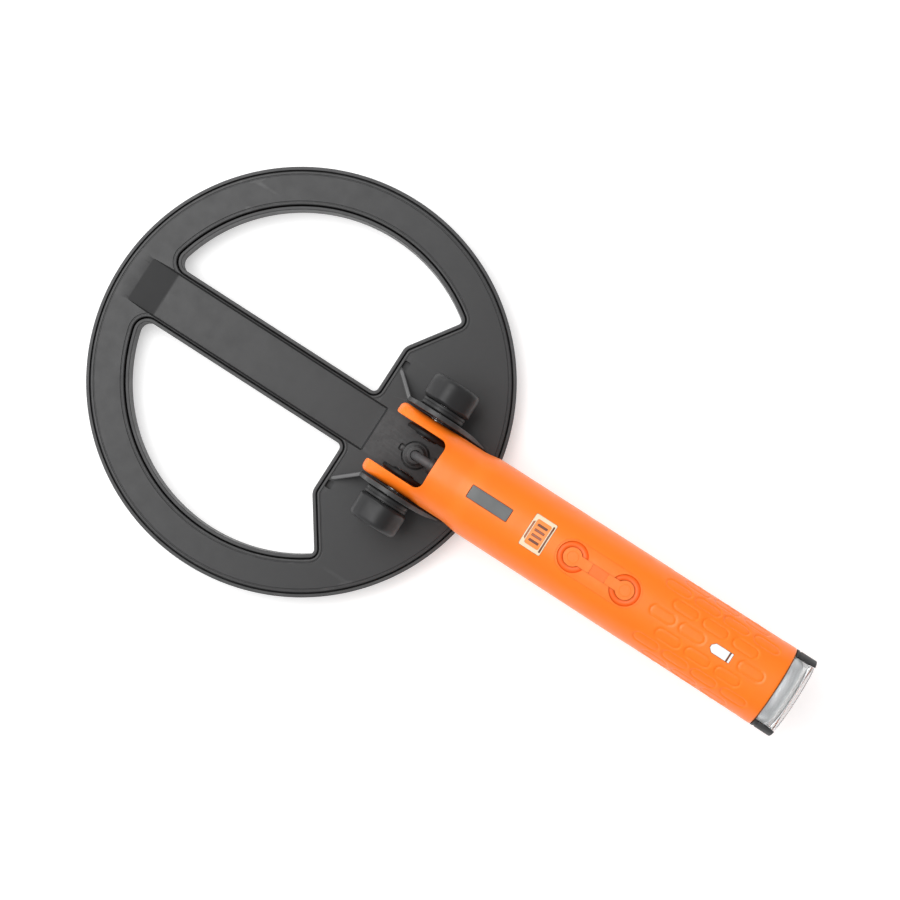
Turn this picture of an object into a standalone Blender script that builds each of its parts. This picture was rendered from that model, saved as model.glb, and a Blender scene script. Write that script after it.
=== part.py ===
# Compact underwater pulse metal detector.
# A round search coil with a centre bar lies flat; a fork on the end of a
# tubular handle is clamped between two upright ears by two thumb knobs.
# Units are metres, +Z up.  The origin is the coil's centre on its underside,
# and the handle points along +X.
import math

import bpy
import bmesh
from mathutils import Vector
from mathutils.geometry import tessellate_polygon

MM = 0.001

# ---------------------------------------------------------------- dimensions
# all lengths below are in millimetres
COIL_R = 100.0            # outer radius of the coil
COIL_TOP = 13.0           # height of the coil's upper face
WIN_R = 80.0              # radius of the windows' curved edge
BAR_HALF = 14.5           # half width of the centre bar
WEB_X = 31.6              # where the web under the fork begins
DIAG_A = (31.6, 39.8)     # the slanted edge of a window runs from A to B
DIAG_B = (47.9, 63.4)
FIL_INNER, FIL_OUTER, FIL_ACUTE, FIL_FAR = 2.4, 6.5, 2.4, 4.8

COVER_FLOOR = 1.5         # skid cover: floor thickness
COVER_LIP = 12.2          # height of its lip
SHELL_INSET = 2.3         # the shell stands this far inside the cover
SHELL_WALL = 1.7
SHELL_LOW, SHELL_ROOF = 3.9, 7.6

TROUGH_HALF = 11.1        # shallow trough along the bar
TROUGH_Z = 10.2
TROUGH_X = (-88.8, -74.9, 39.8, 40.8)

WIND_R, WIND_r, WIND_Z = 91.0, 1.75, 9.35   # copper winding

PIVOT = (63.0, 0.0, 35.5)
TILT = 7.0                # handle's slope as it stands, degrees

EAR_IN, EAR_OUT = 19.2, 21.5
EAR_R = 14.0
PRONG_IN, PRONG_OUT = 12.4, 18.1
PRONG_HALF = 14.0         # half height of a prong
PRONG_TIP = 17.9
BORE_R, BOLT_R = 3.4, 3.0

NECK_R, TUBE_R, CAVITY_R = 18.3, 19.5, 15.2
SLOT_END = 12.1
BULKHEAD = 20.0
TUBE_END = 189.3
TAIL_END = 199.4

PAD_FLOOR = 16.4          # floor of the keypad's recess, above the axis
BTN_X = (85.3, 112.1)     # centres of the two buttons
BTN_R, GROOVE_R = 4.25, 6.85
ROOT_X = (94.6, 102.8)    # roots of the buttons' tongues
TONGUE = 2.35
KEYPAD_HALF = 7.9

CABLE_R = 2.15

SEG = 32
TUBE_SEG = 40
COIL_SEG = 60

for ob in list(bpy.data.objects):
    bpy.data.objects.remove(ob, do_unlink=True)

scene = bpy.context.scene


# ---------------------------------------------------------------- materials
def material(name, color, rough, metal=0.0):
    m = bpy.data.materials.new(name)
    m.use_nodes = True
    b = m.node_tree.nodes["Principled BSDF"]
    b.inputs["Base Color"].default_value = (*color, 1.0)
    b.inputs["Roughness"].default_value = rough
    b.inputs["Metallic"].default_value = metal
    m.diffuse_color = (*color, 1.0)
    return m


M_COVER = material("cover_black", (0.035, 0.035, 0.036), 0.55)
M_SHELL = material("shell_grey", (0.105, 0.105, 0.108), 0.5)
M_POTTING = material("potting_resin", (0.02, 0.02, 0.022), 0.3)
M_COPPER = material("copper", (0.72, 0.29, 0.12), 0.35, 1.0)
M_KNOB = material("knob_black", (0.045, 0.045, 0.047), 0.45)
M_STEEL = material("steel", (0.62, 0.62, 0.63), 0.3, 1.0)
M_RUBBER = material("rubber_black", (0.02, 0.02, 0.02), 0.8)
M_ORANGE = material("orange", (1.0, 0.22, 0.02), 0.42)
M_ORANGE2 = material("orange_deep", (0.95, 0.17, 0.015), 0.5)
M_GREY = material("window_grey", (0.17, 0.18, 0.18), 0.3)
M_CREAM = material("cream", (0.95, 0.84, 0.66), 0.4)
M_BROWN = material("bar_brown", (0.14, 0.035, 0.012), 0.4)
M_WHITE = material("window_white", (0.9, 0.9, 0.88), 0.2)
M_BOARD = material("board_green", (0.02, 0.12, 0.04), 0.45)
M_CELL = material("cell_blue", (0.03, 0.10, 0.30), 0.35)
M_CRADLE = material("cradle_black", (0.03, 0.03, 0.03), 0.6)
M_CLEAR = material("clear", (0.85, 0.87, 0.88), 0.08)
M_LED = material("led", (0.95, 0.93, 0.7), 0.1)


# ---------------------------------------------------------------- mesh tools
def make(name, bm, mat, parent=None, loc=(0, 0, 0), rot=(0, 0, 0), angle=35):
    bmesh.ops.remove_doubles(bm, verts=bm.verts, dist=1e-7)
    bmesh.ops.recalc_face_normals(bm, faces=bm.faces)
    me = bpy.data.meshes.new(name)
    bm.to_mesh(me)
    bm.free()
    me.materials.append(mat)
    me.shade_smooth()
    me.set_sharp_from_angle(angle=math.radians(angle))
    ob = bpy.data.objects.new(name, me)
    scene.collection.objects.link(ob)
    ob.location = [c * MM for c in loc]
    ob.rotation_euler = rot
    if parent is not None:
        ob.parent = parent
    return ob


def as_cutter(ob):
    ob.hide_render = True
    ob.display_type = "WIRE"
    return ob


def boolean(ob, other, op="DIFFERENCE"):
    m = ob.modifiers.new(op.lower() + "_" + other.name, "BOOLEAN")
    m.operation = op
    m.solver = "EXACT"
    m.object = as_cutter(other)
    return m


def empty(name, loc, rot=(0, 0, 0), parent=None):
    e = bpy.data.objects.new(name, None)
    scene.collection.objects.link(e)
    e.empty_display_size = 0.02
    e.location = [c * MM for c in loc]
    e.rotation_euler = rot
    if parent is not None:
        e.parent = parent
    return e


XYZ = {
    "z": lambda u, v, w: (u, v, w),     # outline in XY, extruded along Z
    "y": lambda u, v, w: (u, w, v),     # outline in XZ, extruded along Y
    "x": lambda u, v, w: (w, u, v),     # outline in YZ, extruded along X
}


def stack(levels, axis="z"):
    """Closed solid through a stack of levels: each level is (loops, height),
    loops being an outer outline and any holes, all with matching points."""
    put = XYZ[axis]
    bm = bmesh.new()
    rows = []
    for loops, w in levels:
        rows.append([[bm.verts.new(Vector(put(u, v, w)) * MM) for u, v in lp]
                     for lp in loops])
    for a, b in zip(rows, rows[1:]):
        for la, lb in zip(a, b):
            n = len(la)
            for i in range(n):
                j = (i + 1) % n
                bm.faces.new((la[i], la[j], lb[j], lb[i]))
    for row, (loops, w) in ((rows[0], levels[0]), (rows[-1], levels[-1])):
        flat = [v for lp in row for v in lp]
        tris = tessellate_polygon([[Vector((u, v, 0)) for u, v in lp]
                                   for lp in loops])
        for t in tris:
            try:
                bm.faces.new([flat[i] for i in t])
            except ValueError:
                pass
    return bm


def prism(loops, lo, hi, axis="z"):
    return stack([(loops, lo), (loops, hi)], axis)


def revolve(profile, seg=SEG, axis="x", closed=False, start=0.0, sweep=360.0):
    """Turn (position along the axis, radius) points about the axis."""
    bm = bmesh.new()

    def put(a, y, z):
        if axis == "x":
            return Vector((a, y, z)) * MM
        if axis == "y":
            return Vector((y, a, z)) * MM
        return Vector((y, z, a)) * MM

    full = abs(sweep - 360.0) < 1e-6
    count = seg if full else seg + 1
    rings = []
    for a, r in profile:
        if r < 1e-9:
            rings.append([bm.verts.new(put(a, 0, 0))])
            continue
        ring = []
        for i in range(count):
            t = math.radians(start + sweep * i / seg)
            ring.append(bm.verts.new(put(a, r * math.cos(t), r * math.sin(t))))
        rings.append(ring)
    pairs = list(zip(rings, rings[1:]))
    if closed:
        pairs.append((rings[-1], rings[0]))
    for ra, rb in pairs:
        for i in range(seg):
            j = (i + 1) % seg if full else i + 1
            if len(ra) == 1 and len(rb) == 1:
                continue
            if len(ra) == 1:
                bm.faces.new((ra[0], rb[i], rb[j]))
            elif len(rb) == 1:
                bm.faces.new((ra[i], ra[j], rb[0]))
            else:
                bm.faces.new((ra[i], ra[j], rb[j], rb[i]))
    if not full:
        bm.faces.new([r[0] for r in rings])
        bm.faces.new([r[-1] for r in rings])
    return bm


def circle(r, seg, cx=0.0, cy=0.0, phase=0.0):
    return [(cx + r * math.cos(phase + 2 * math.pi * i / seg),
             cy + r * math.sin(phase + 2 * math.pi * i / seg))
            for i in range(seg)]


def arc(cx, cy, r, a0, a1, n):
    return [(cx + r * math.cos(math.radians(a0 + (a1 - a0) * i / n)),
             cy + r * math.sin(math.radians(a0 + (a1 - a0) * i / n)))
            for i in range(n + 1)]


def stadium(cx, cy, half_len, r, n=10):
    """Round-ended outline, long along the first axis."""
    k = half_len - r
    return arc(cx + k, cy, r, -90, 90, n) + arc(cx - k, cy, r, 90, 270, n)


def rounded(x0, x1, y0, y1, r, n=3):
    return (arc(x1 - r, y1 - r, r, 0, 90, n) + arc(x0 + r, y1 - r, r, 90, 180, n)
            + arc(x0 + r, y0 + r, r, 180, 270, n)
            + arc(x1 - r, y0 + r, r, 270, 360, n))


# ------------------------------------------------------------- coil outlines
def window(d, side):
    """Outline of one window, grown by d into the material, with round
    corners.  side is +1 for the window at +Y and -1 for the other."""
    ax, ay = DIAG_A
    bx, by = DIAG_B
    ln = math.hypot(bx - ax, by - ay)
    tx, ty = (bx - ax) / ln, (by - ay) / ln      # along the slanted edge
    nx, ny = ty, -tx                             # out of the window
    m = nx * ax + ny * ay + d
    ra = WIN_R + d
    yb = BAR_HALF - d
    xe = WEB_X + d
    pts = []
    # corner between the bar's edge and the web's edge
    r = FIL_INNER + d
    pts += arc(xe - r, yb + r, r, -90, 0, 3)
    # corner between the web's edge and the slanted edge, turning outwards
    r = FIL_OUTER - d
    # centre lies in the material, r from both edges
    cx = xe + r
    cy = (m + r - nx * cx) / ny
    a_end = math.degrees(math.atan2(-ny, -nx))
    a_end = a_end % 360
    pts += arc(cx, cy, r, 180, a_end, 2)
    # corner between the slanted edge and the curved edge
    r = FIL_ACUTE + d
    q = m - r
    t = math.sqrt((ra - r) ** 2 - q ** 2)
    cx, cy = nx * q + tx * t, ny * q + ty * t
    a0 = math.degrees(math.atan2(ny, nx))
    a1 = math.degrees(math.atan2(cy, cx))
    pts += arc(cx, cy, r, a0, a1, 3)
    # the long curved edge
    r2 = FIL_FAR + d
    cy2 = yb + r2
    cx2 = -math.sqrt((ra - r2) ** 2 - cy2 ** 2)
    b1 = math.degrees(math.atan2(cy2, cx2))
    pts += arc(0, 0, ra, a1, b1, 18)[1:-1]
    # corner between the curved edge and the bar's edge
    pts += arc(cx2, cy2, r2, b1, 270, 4)
    return [(x, side * y) for x, y in pts]


def coil_loops(d):
    return [circle(COIL_R - d, COIL_SEG), window(d, 1), window(d, -1)]


def coil_solid(path):
    return stack([(coil_loops(d), z) for d, z in path])


# ---------------------------------------------------------------- the coil
cover = make("coil_skid_cover", coil_solid([
    (2.2, 0.0), (0.0, 2.6), (0.0, 11.7), (0.5, COVER_LIP),
    (1.35, COVER_LIP), (1.35, 9.0), (2.0, 8.4), (2.0, COVER_FLOOR)]), M_COVER)

make("coil_base_plate", coil_solid([
    (SHELL_INSET, 1.8), (SHELL_INSET, 3.6)]), M_SHELL)

make("coil_potting", coil_solid([
    (4.3, 3.9), (4.3, 7.3)]), M_POTTING)

shell = make("coil_top_shell", coil_solid([
    (SHELL_INSET + SHELL_WALL, SHELL_ROOF),
    (SHELL_INSET + SHELL_WALL, SHELL_LOW),
    (SHELL_INSET, SHELL_LOW), (SHELL_INSET, 12.2), (3.1, COIL_TOP)]), M_SHELL)

# trough along the bar: a ramp at the far end, a steep wall at the near end
x0, x1, x2, x3 = TROUGH_X
slope_far = (COIL_TOP - TROUGH_Z) / (x1 - x0)
slope_near = (COIL_TOP - TROUGH_Z) / (x3 - x2)
trough = make("trough_cutter", prism([[
    (x0 - 1.0, COIL_TOP + slope_far), (x1, TROUGH_Z), (x2, TROUGH_Z),
    (x3 + 1.0, COIL_TOP + slope_near), (x3 + 1.0, 16.0), (x0 - 1.0, 16.0)]],
    -TROUGH_HALF, TROUGH_HALF, "y"), M_SHELL)
boolean(shell, trough)

# channel for the winding, under the roof
channel = make("channel_cutter", revolve(
    [(6.5, 88.6), (11.3, 88.6), (11.3, 93.4), (6.5, 93.4)], COIL_SEG, "z", True),
    M_SHELL)
boolean(shell, channel)

# ears with their bores
px, pz = PIVOT[0], PIVOT[2]


def ear_outline():
    top = arc(px, pz, EAR_R, 158, 38, 8)
    return [(45.8, 12.0), (45.8, 24.0)] + top + \
        [(83.0, 25.5), (87.3, 20.5), (89.6, 15.5), (90.0, 12.0)]


for side, tag in ((1, "left"), (-1, "right")):
    lo, hi = sorted((side * EAR_IN, side * EAR_OUT))
    ear = make("ear_" + tag, prism(
        [ear_outline(), circle(BORE_R, 16, px, pz)], lo, hi, "y"), M_SHELL)
    boolean(shell, ear, "UNION")
    # gusset from the ear's front edge, slanting out over the web
    ax, ay, bx, by, half = 46.9, 20.3, 35.9, 29.8, 1.05
    ln = math.hypot(bx - ax, by - ay)
    tx, ty = (bx - ax) / ln, (by - ay) / ln
    nx, ny = -ty * half, tx * half
    bm = bmesh.new()
    vs = []
    for x, y, z in ((ax, ay, 27.0), (bx, by, 14.2), (bx, by, 12.0), (ax, ay, 12.0)):
        for s in (1, -1):
            vs.append(bm.verts.new(Vector(
                (x + s * nx, side * (y + s * ny), z)) * MM))
    for i in range(4):
        j = (i + 1) % 4
        bm.faces.new((vs[2 * i], vs[2 * i + 1], vs[2 * j + 1], vs[2 * j]))
    bm.faces.new([vs[k] for k in (0, 2, 4, 6)])
    bm.faces.new([vs[k] for k in (1, 3, 5, 7)])
    gusset = make("gusset_" + tag, bm, M_SHELL)
    boolean(shell, gusset, "UNION")

lead_hole = make("lead_hole_cutter", revolve(
    [(6.0, 0), (6.0, 2.7), (15.0, 2.7), (15.0, 0)], 16, "z"), M_SHELL,
    loc=(px, 0, 0))
boolean(shell, lead_hole)

make("coil_winding", revolve(
    [(WIND_Z + WIND_r * math.sin(math.radians(a)),
      WIND_R + WIND_r * math.cos(math.radians(a))) for a in range(0, 360, 72)],
    48, "z", True), M_COPPER)

# strain relief where the lead leaves the coil
boss = make("lead_boss", stack([
    ([circle(6.0, 20), circle(2.5, 20)], 13.3),
    ([circle(6.0, 20), circle(2.5, 20)], 15.2),
    ([circle(4.7, 20), circle(2.5, 20)], 15.6),
    ([circle(4.2, 20), circle(2.5, 20)], 18.6)]), M_KNOB,
    loc=(px, 0, 0))
tab = make("boss_tab", prism([rounded(-8.0, -4.0, -1.1, 1.1, 0.8)], 13.3, 15.0),
           M_KNOB, loc=(px, 0, 0))
boolean(boss, tab, "UNION")

# ---------------------------------------------------------------- handle frame
pivot = empty("handle_pivot", PIVOT, (0, -math.radians(TILT), 0))


def hpiece(name, bm, mat, loc=(0, 0, 0), angle=35):
    return make(name, bm, mat, parent=pivot, loc=loc, angle=angle)


# ---------------------------------------------------------------- clamp parts
knob_axis = {}
for side, tag in ((1, "left"), (-1, "right")):
    def turned(points, seg=24, closed=True, s=side):
        return revolve([(s * a, r) for a, r in points], seg, "y", closed)

    make("knob_collar_" + tag, turned([
        (21.8, 3.4), (25.4, 3.4), (25.4, 10.3), (24.9, 10.8), (22.3, 10.8),
        (21.8, 10.3)]), M_KNOB, loc=PIVOT)
    kp = empty("knob_axis_" + tag, PIVOT)
    make("thumb_knob_" + tag, turned([
        (33.4, 0.0), (33.4, 3.4), (25.7, 3.4), (25.7, 10.6), (26.6, 11.7),
        (27.8, 12.0), (34.4, 12.0), (36.0, 11.5), (37.1, 10.3),
        (37.5, 8.6), (37.5, 0.0)], 28, False), M_KNOB, parent=kp)
    make("clamp_bolt_" + tag, revolve([(side * a, r) for a, r in (
        (8.4, 0.0), (8.4, 2.5), (8.9, BOLT_R), (33.1, BOLT_R), (33.1, 0.0))],
        12, "y"), M_STEEL, parent=kp)
    make("friction_washer_" + tag, turned([
        (18.4, 3.5), (18.9, 3.5), (18.9, 9.6), (18.4, 9.6)], 20), M_RUBBER,
        loc=PIVOT)
    hpiece("nut_plate_" + tag, turned([
        (9.6, 6.5), (12.1, 6.5), (12.1, 9.0), (11.1, 10.3), (10.1, 10.3),
        (9.6, 9.8)], 20),
        M_KNOB)
    lo, hi = sorted((side * 8.9, side * 12.1))
    hpiece("clamp_nut_" + tag, prism(
        [circle(5.7, 6, phase=math.pi / 6),
         circle(3.3, 12)], lo, hi, "y"), M_STEEL)

# ---------------------------------------------------------------- housing
tube_profile = [
    (4.0, 0.0), (4.0, NECK_R), (27.0, NECK_R), (30.2, 18.85),
    (33.4, 19.42), (36.0, TUBE_R), (188.6, TUBE_R),
    (TUBE_END, 19.0), (TUBE_END, 0.0)]
housing = hpiece("handle_housing", revolve(tube_profile, TUBE_SEG), M_ORANGE)


def prong_outline():
    front = [(PRONG_TIP * math.cos(math.radians(a)),
              PRONG_HALF * math.sin(math.radians(a))) for a in range(90, 271, 15)]
    return [(14.0, PRONG_HALF)] + front + \
        [(14.0, -PRONG_HALF), (22.0, -11.5), (29.0, -6.0), (29.0, 6.0), (22.0, 11.5)]


for side, tag in ((1, "left"), (-1, "right")):
    lo, hi = sorted((side * (PRONG_IN - 2.0), side * PRONG_OUT))
    prong = hpiece("prong_" + tag, prism([prong_outline()], lo, hi, "y"), M_ORANGE)
    # round over the outer edge
    outer_y = side * PRONG_OUT * MM
    me = prong.data
    w = me.attributes.new("bevel_weight_edge", "FLOAT", "EDGE")
    for e in me.edges:
        a, b = (me.vertices[i].co for i in e.vertices)
        if abs(a.y - outer_y) < 1e-6 and abs(b.y - outer_y) < 1e-6:
            w.data[e.index].value = 1.0
    bv = prong.modifiers.new("outer_edge", "BEVEL")
    bv.limit_method = "WEIGHT"
    bv.width = 4.4 * MM
    bv.segments = 3
    boolean(housing, prong, "UNION")

slot = hpiece("slot_cutter", prism([
    [(-24.0, -PRONG_IN)] + arc(SLOT_END - 4.0, -PRONG_IN + 4.0, 4.0, -90, 0, 4)
    + arc(SLOT_END - 4.0, PRONG_IN - 4.0, 4.0, 0, 90, 4) + [(-24.0, PRONG_IN)]],
    -26.0, 26.0), M_ORANGE)
boolean(housing, slot)

cavity = hpiece("cavity_cutter", revolve(
    [(BULKHEAD, 0.0), (BULKHEAD, 13.5), (BULKHEAD + 1.7, CAVITY_R),
     (195.0, CAVITY_R), (195.0, 0.0)], SEG), M_ORANGE)
boolean(housing, cavity)

bolt_bore = hpiece("bolt_bore_cutter", revolve(
    [(-24.0, 0.0), (-24.0, BORE_R), (24.0, BORE_R), (24.0, 0.0)], 16, "y"),
    M_ORANGE)
boolean(housing, bolt_bore)

entry = hpiece("lead_entry_cutter", revolve(
    [(8.0, 0.0), (8.0, 2.6), (24.0, 2.6), (24.0, 0.0)], 16), M_ORANGE,
    loc=(0, 0, -1.0))
boolean(housing, entry)

mid = sum(BTN_X) / 2
half_pad = (BTN_X[1] - BTN_X[0]) / 2 + KEYPAD_HALF
pad_cut = hpiece("keypad_cutter", prism(
    [stadium(mid, 0, half_pad, KEYPAD_HALF, 8)], PAD_FLOOR, 22.0), M_ORANGE)
boolean(housing, pad_cut)
for i, bx in enumerate(BTN_X):
    sc = hpiece("switch_hole_cutter_%d" % i, revolve(
        [(14.0, 0.0), (14.0, 1.9), (18.0, 1.9), (18.0, 0.0)], 10, "z"),
        M_ORANGE, loc=(bx, 0, 0))
    boolean(housing, sc)

WINDOW_X = (31.3, 52.6)
win_cut = hpiece("display_cutter", prism(
    [rounded(WINDOW_X[0], WINDOW_X[1], -3.3, 3.3, 0.35, 1)], 17.6, 22.0), M_ORANGE)
boolean(housing, win_cut)

GAUGE_X = (61.8, 72.8)
gauge_cut = hpiece("gauge_cutter", prism(
    [rounded(GAUGE_X[0], GAUGE_X[1], -7.95, 7.95, 0.5, 1)], 16.4, 22.0), M_ORANGE)
boolean(housing, gauge_cut)


def bullet(d):
    return [(155.9 + d * 1.3, 0.7), (157.6 + d * 0.5, 2.4 - d), (166.6 - d, 2.4 - d),
            (166.6 - d, -2.4 + d), (157.6 + d * 0.5, -2.4 + d), (155.9 + d * 1.3, -0.7)]


lamp_cut = hpiece("lamp_cutter", prism([bullet(0.0)], 17.4, 22.0), M_ORANGE)
boolean(housing, lamp_cut)


# ------------------------------------------------- pieces let into the housing
def skin(radius, name):
    """Cylinder that trims a piece flush with the housing's surface."""
    return hpiece(name, revolve(
        [(25.0, 0.0), (25.0, radius), (180.0, radius), (180.0, 0.0)],
        TUBE_SEG),
        M_ORANGE)


flush = skin(TUBE_R, "flush_trim")
low_skin = skin(TUBE_R - 0.25, "low_trim")


def inlaid(name, loops, floor, mat, trim=None, loc=(0, 0, 0), parent=None):
    ob = make(name, prism(loops, floor, 21.5), mat,
              parent=parent or pivot, loc=loc)
    boolean(ob, trim or flush, "INTERSECT")
    return ob


inlaid("display_window",
       [rounded(WINDOW_X[0] + 0.3, WINDOW_X[1] - 0.3, -3.0, 3.0, 0.3, 1)],
       17.9, M_GREY, low_skin)

inlaid("gauge_bezel", [
    rounded(GAUGE_X[0] + 0.3, GAUGE_X[1] - 0.3, -7.65, 7.65, 0.4, 2),
    rounded(GAUGE_X[0] + 1.7, GAUGE_X[1] - 1.3, -6.2, 6.2, 0.6, 2)],
    16.7, M_CREAM)
# insert with a slot for each of the four light bars
BAR_Y = (-3.72, -1.24, 1.24, 3.72)
BAR_X = (65.0, 69.7)
inlaid("gauge_panel",
       [rounded(GAUGE_X[0] + 2.0, GAUGE_X[1] - 1.6, -5.9, 5.9, 0.6, 2)]
       + [[(BAR_X[0] - 0.3, y - 0.7), (BAR_X[1] + 0.3, y - 0.7),
           (BAR_X[1] + 0.3, y + 0.7), (BAR_X[0] - 0.3, y + 0.7)] for y in BAR_Y],
       16.7, M_ORANGE2)
for i, y in enumerate(BAR_Y):
    inlaid("gauge_bar_%d" % (i + 1),
           [[(BAR_X[0], y - 0.4), (BAR_X[1], y - 0.4),
             (BAR_X[1], y + 0.4), (BAR_X[0], y + 0.4)]], 16.7, M_BROWN)

inlaid("lamp_window", [bullet(0.3)], 17.7, M_WHITE)


def keyhole(cx, r, half, root, seg=18):
    """A disc with a tongue running to root along X."""
    sgn = 1 if root > cx else -1
    a = math.degrees(math.asin(half / r))
    pts = arc(0, 0, r, a, 360 - a, seg)
    pts = [(cx + sgn * x, y) for x, y in pts]
    return pts + [(root, -half), (root, half)]


frame = inlaid("keypad_frame", [
    stadium(mid, 0, half_pad - 0.3, KEYPAD_HALF - 0.3, 8)],
    PAD_FLOOR + 0.3, M_ORANGE2)
for i, (cx, root) in enumerate(((BTN_X[0], ROOT_X[0] + 0.3),
                                (BTN_X[1], ROOT_X[1] - 0.3))):
    boolean(frame, hpiece("keyhole_cutter_%d" % i, prism(
        [keyhole(cx, GROOVE_R, TONGUE + 0.3, root)], 15.0, 23.0), M_ORANGE2))

for name, cx, root in (("button_power", BTN_X[0], ROOT_X[0]),
                       ("button_mode", BTN_X[1], ROOT_X[1])):
    hinge = empty(name + "_hinge", (root, 0, 18.4), parent=pivot)
    ob = make(name, prism([[(x - root, y) for x, y in
                            keyhole(cx, BTN_R, TONGUE, root)]],
                          17.6 - 18.4, 21.5 - 18.4), M_ORANGE2, parent=hinge)
    boolean(ob, flush, "INTERSECT")

# ---------------------------------------------------------------- inside
BOARD_Z = (7.6, 9.2)
hpiece("circuit_board", prism(
    [[(23.0, -11.3), (150.0, -11.3), (150.0, 11.3), (23.0, 11.3)]],
    BOARD_Z[0], BOARD_Z[1]), M_BOARD)

for name, cx in (("switch_power", BTN_X[0]), ("switch_mode", BTN_X[1])):
    body = hpiece(name, prism([rounded(cx - 3.0, cx + 3.0, -3.0, 3.0, 0.4, 1)],
                              9.5, 13.2), M_CRADLE)
    stem = hpiece(name + "_stem", revolve(
        [(11.0, 0.0), (11.0, 1.5), (16.7, 1.5), (16.7, 0.0)], 14, "z"),
        M_CRADLE, loc=(cx, 0, 0))
    boolean(body, stem, "UNION")

hpiece("battery_cell", revolve([
    (52.0, 0.0), (52.0, 8.6), (52.6, 9.0), (116.6, 9.0), (117.0, 8.7),
    (117.0, 2.8), (118.2, 2.6), (118.2, 0.0)], 20), M_CELL, loc=(0, 0, -3.6))

hpiece("battery_cradle", revolve(
    [(24.0, 13.3), (150.0, 13.3), (150.0, 14.8), (24.0, 14.8)],
    12, "x", True, 180.0, 180.0), M_CRADLE)

hpiece("vibration_motor", revolve([
    (126.0, 0.0), (126.0, 3.8), (138.0, 3.8), (138.0, 1.0), (139.5, 1.0),
    (139.5, 3.0), (143.5, 3.0), (143.5, 0.0)], 14), M_STEEL, loc=(0, 0, -8.4))

hpiece("buzzer", revolve([
    (3.4, 0.0), (3.4, 5.8), (7.1, 5.8), (7.1, 1.0), (6.4, 1.0), (6.4, 0.0)],
    16, "z"), M_CRADLE, loc=(136.0, 0, 0))

# ---------------------------------------------------------------- lead
# the lead rises from the coil beside the hinge axis and enters the handle
hpiece("lead_gland", stack([
    ([circle(3.9, 16), circle(2.45, 16)], 8.2),
    ([circle(3.9, 16), circle(2.45, 16)], 9.9),
    ([circle(3.3, 16), circle(2.45, 16)], 10.2),
    ([circle(3.3, 16), circle(2.45, 16)], 11.8)], "x"), M_RUBBER,
    loc=(0, 0, -1.0))

ct, st = math.cos(math.radians(TILT)), math.sin(math.radians(TILT))


def to_world(x, z):
    return (px + x * ct - z * st, pz + x * st + z * ct)


def bezier(p0, p1, p2, p3, n):
    out = []
    for i in range(n + 1):
        t = i / n
        out.append(tuple((1 - t) ** 3 * a + 3 * (1 - t) ** 2 * t * b
                         + 3 * (1 - t) * t * t * c + t ** 3 * d
                         for a, b, c, d in zip(p0, p1, p2, p3)))
    return out


low, high = (px, 20.0), to_world(8.2, -1.0)
inner = to_world(22.5, -1.0)
bend = bezier(low, (px, 29.5), to_world(0.4, -1.0), high, 12)
route = [(px, 8.2), (px, 14.0)] + bend + [to_world(12.0, -1.0), inner]
cu = bpy.data.curves.new("search_lead", "CURVE")
cu.dimensions = "3D"
cu.resolution_u = 1
cu.bevel_depth = CABLE_R * MM
cu.bevel_resolution = 2
cu.use_fill_caps = True
sp = cu.splines.new("POLY")
sp.points.add(len(route) - 1)
for p, (x, z) in zip(sp.points, route):
    p.co = (x * MM, 0, z * MM, 1)
cu.materials.append(M_RUBBER)
lead = bpy.data.objects.new("search_lead", cu)
scene.collection.objects.link(lead)

# ---------------------------------------------------------------- tail
collar = hpiece("tail_collar", revolve(
    [(177.0, 11.6), (190.9, 11.6), (190.9, 14.8), (186.4, 14.8), (186.4, 13.4),
     (184.2, 13.4), (184.2, 14.8), (181.8, 14.8), (181.8, 13.4), (179.6, 13.4),
     (179.6, 14.8), (177.0, 14.8)], SEG, "x", True), M_CRADLE)
RAIL_Y = 16.4
for side, tag in ((1, "left"), (-1, "right")):
    # rail: the slice of the tube's round outside |y| = RAIL_Y
    a = math.degrees(math.acos(RAIL_Y / TUBE_R))
    pts = [(side * y, z) for y, z in arc(0, 0, TUBE_R, -a, a, 8)]
    rail = hpiece("rail_" + tag, prism([pts], 189.6, TAIL_END, "x"), M_CRADLE)
    boolean(collar, rail, "UNION")
    lo, hi = sorted((side * 12.5, side * 17.2))
    web = hpiece("web_" + tag, prism(
        [[(lo, -7.0), (hi, -7.0), (hi, 7.0), (lo, 7.0)]], 189.6, 190.9, "x"),
        M_CRADLE)
    boolean(collar, web, "UNION")

for i, x in enumerate((180.7, 185.3)):
    hpiece("tail_oring_%d" % (i + 1), revolve(
        [(x + 0.75 * math.sin(math.radians(a)),
          14.3 + 0.7 * math.cos(math.radians(a))) for a in range(0, 360, 72)],
        28, "x", True), M_RUBBER)

LENS_Y = 16.1
ang = math.degrees(math.acos(LENS_Y / (TUBE_R - 0.1)))
lens_outer = arc(0, 0, TUBE_R - 0.1, ang, 180 - ang, 12) + \
    arc(0, 0, TUBE_R - 0.1, 180 + ang, 360 - ang, 12)
lens = hpiece("tail_lens", prism([lens_outer], 189.6, 199.1, "x"), M_CLEAR)
lens_cut = hpiece("lens_cutter", revolve(
    [(185.0, 0.0), (185.0, 15.15), (196.6, 15.15), (197.0, 14.6), (197.0, 0.0)],
    SEG), M_CLEAR)
boolean(lens, lens_cut)
lens_notch = hpiece("lens_notch_cutter", prism(
    [[(-22.0, -7.4), (22.0, -7.4), (22.0, 7.4), (-22.0, 7.4)]],
    185.0, 191.2, "x"), M_CLEAR)
boolean(lens, lens_notch)

hpiece("lamp_board", revolve(
    [(186.0, 0.0), (186.0, 11.2), (187.4, 11.2), (187.4, 0.0)], 20), M_BOARD)
hpiece("tail_lamp", revolve(
    [(187.7, 0.0), (187.7, 3.4), (188.7, 3.4), (188.7, 2.6), (190.2, 2.4),
     (191.3, 1.6), (191.7, 0.0)], 14), M_LED)
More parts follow.
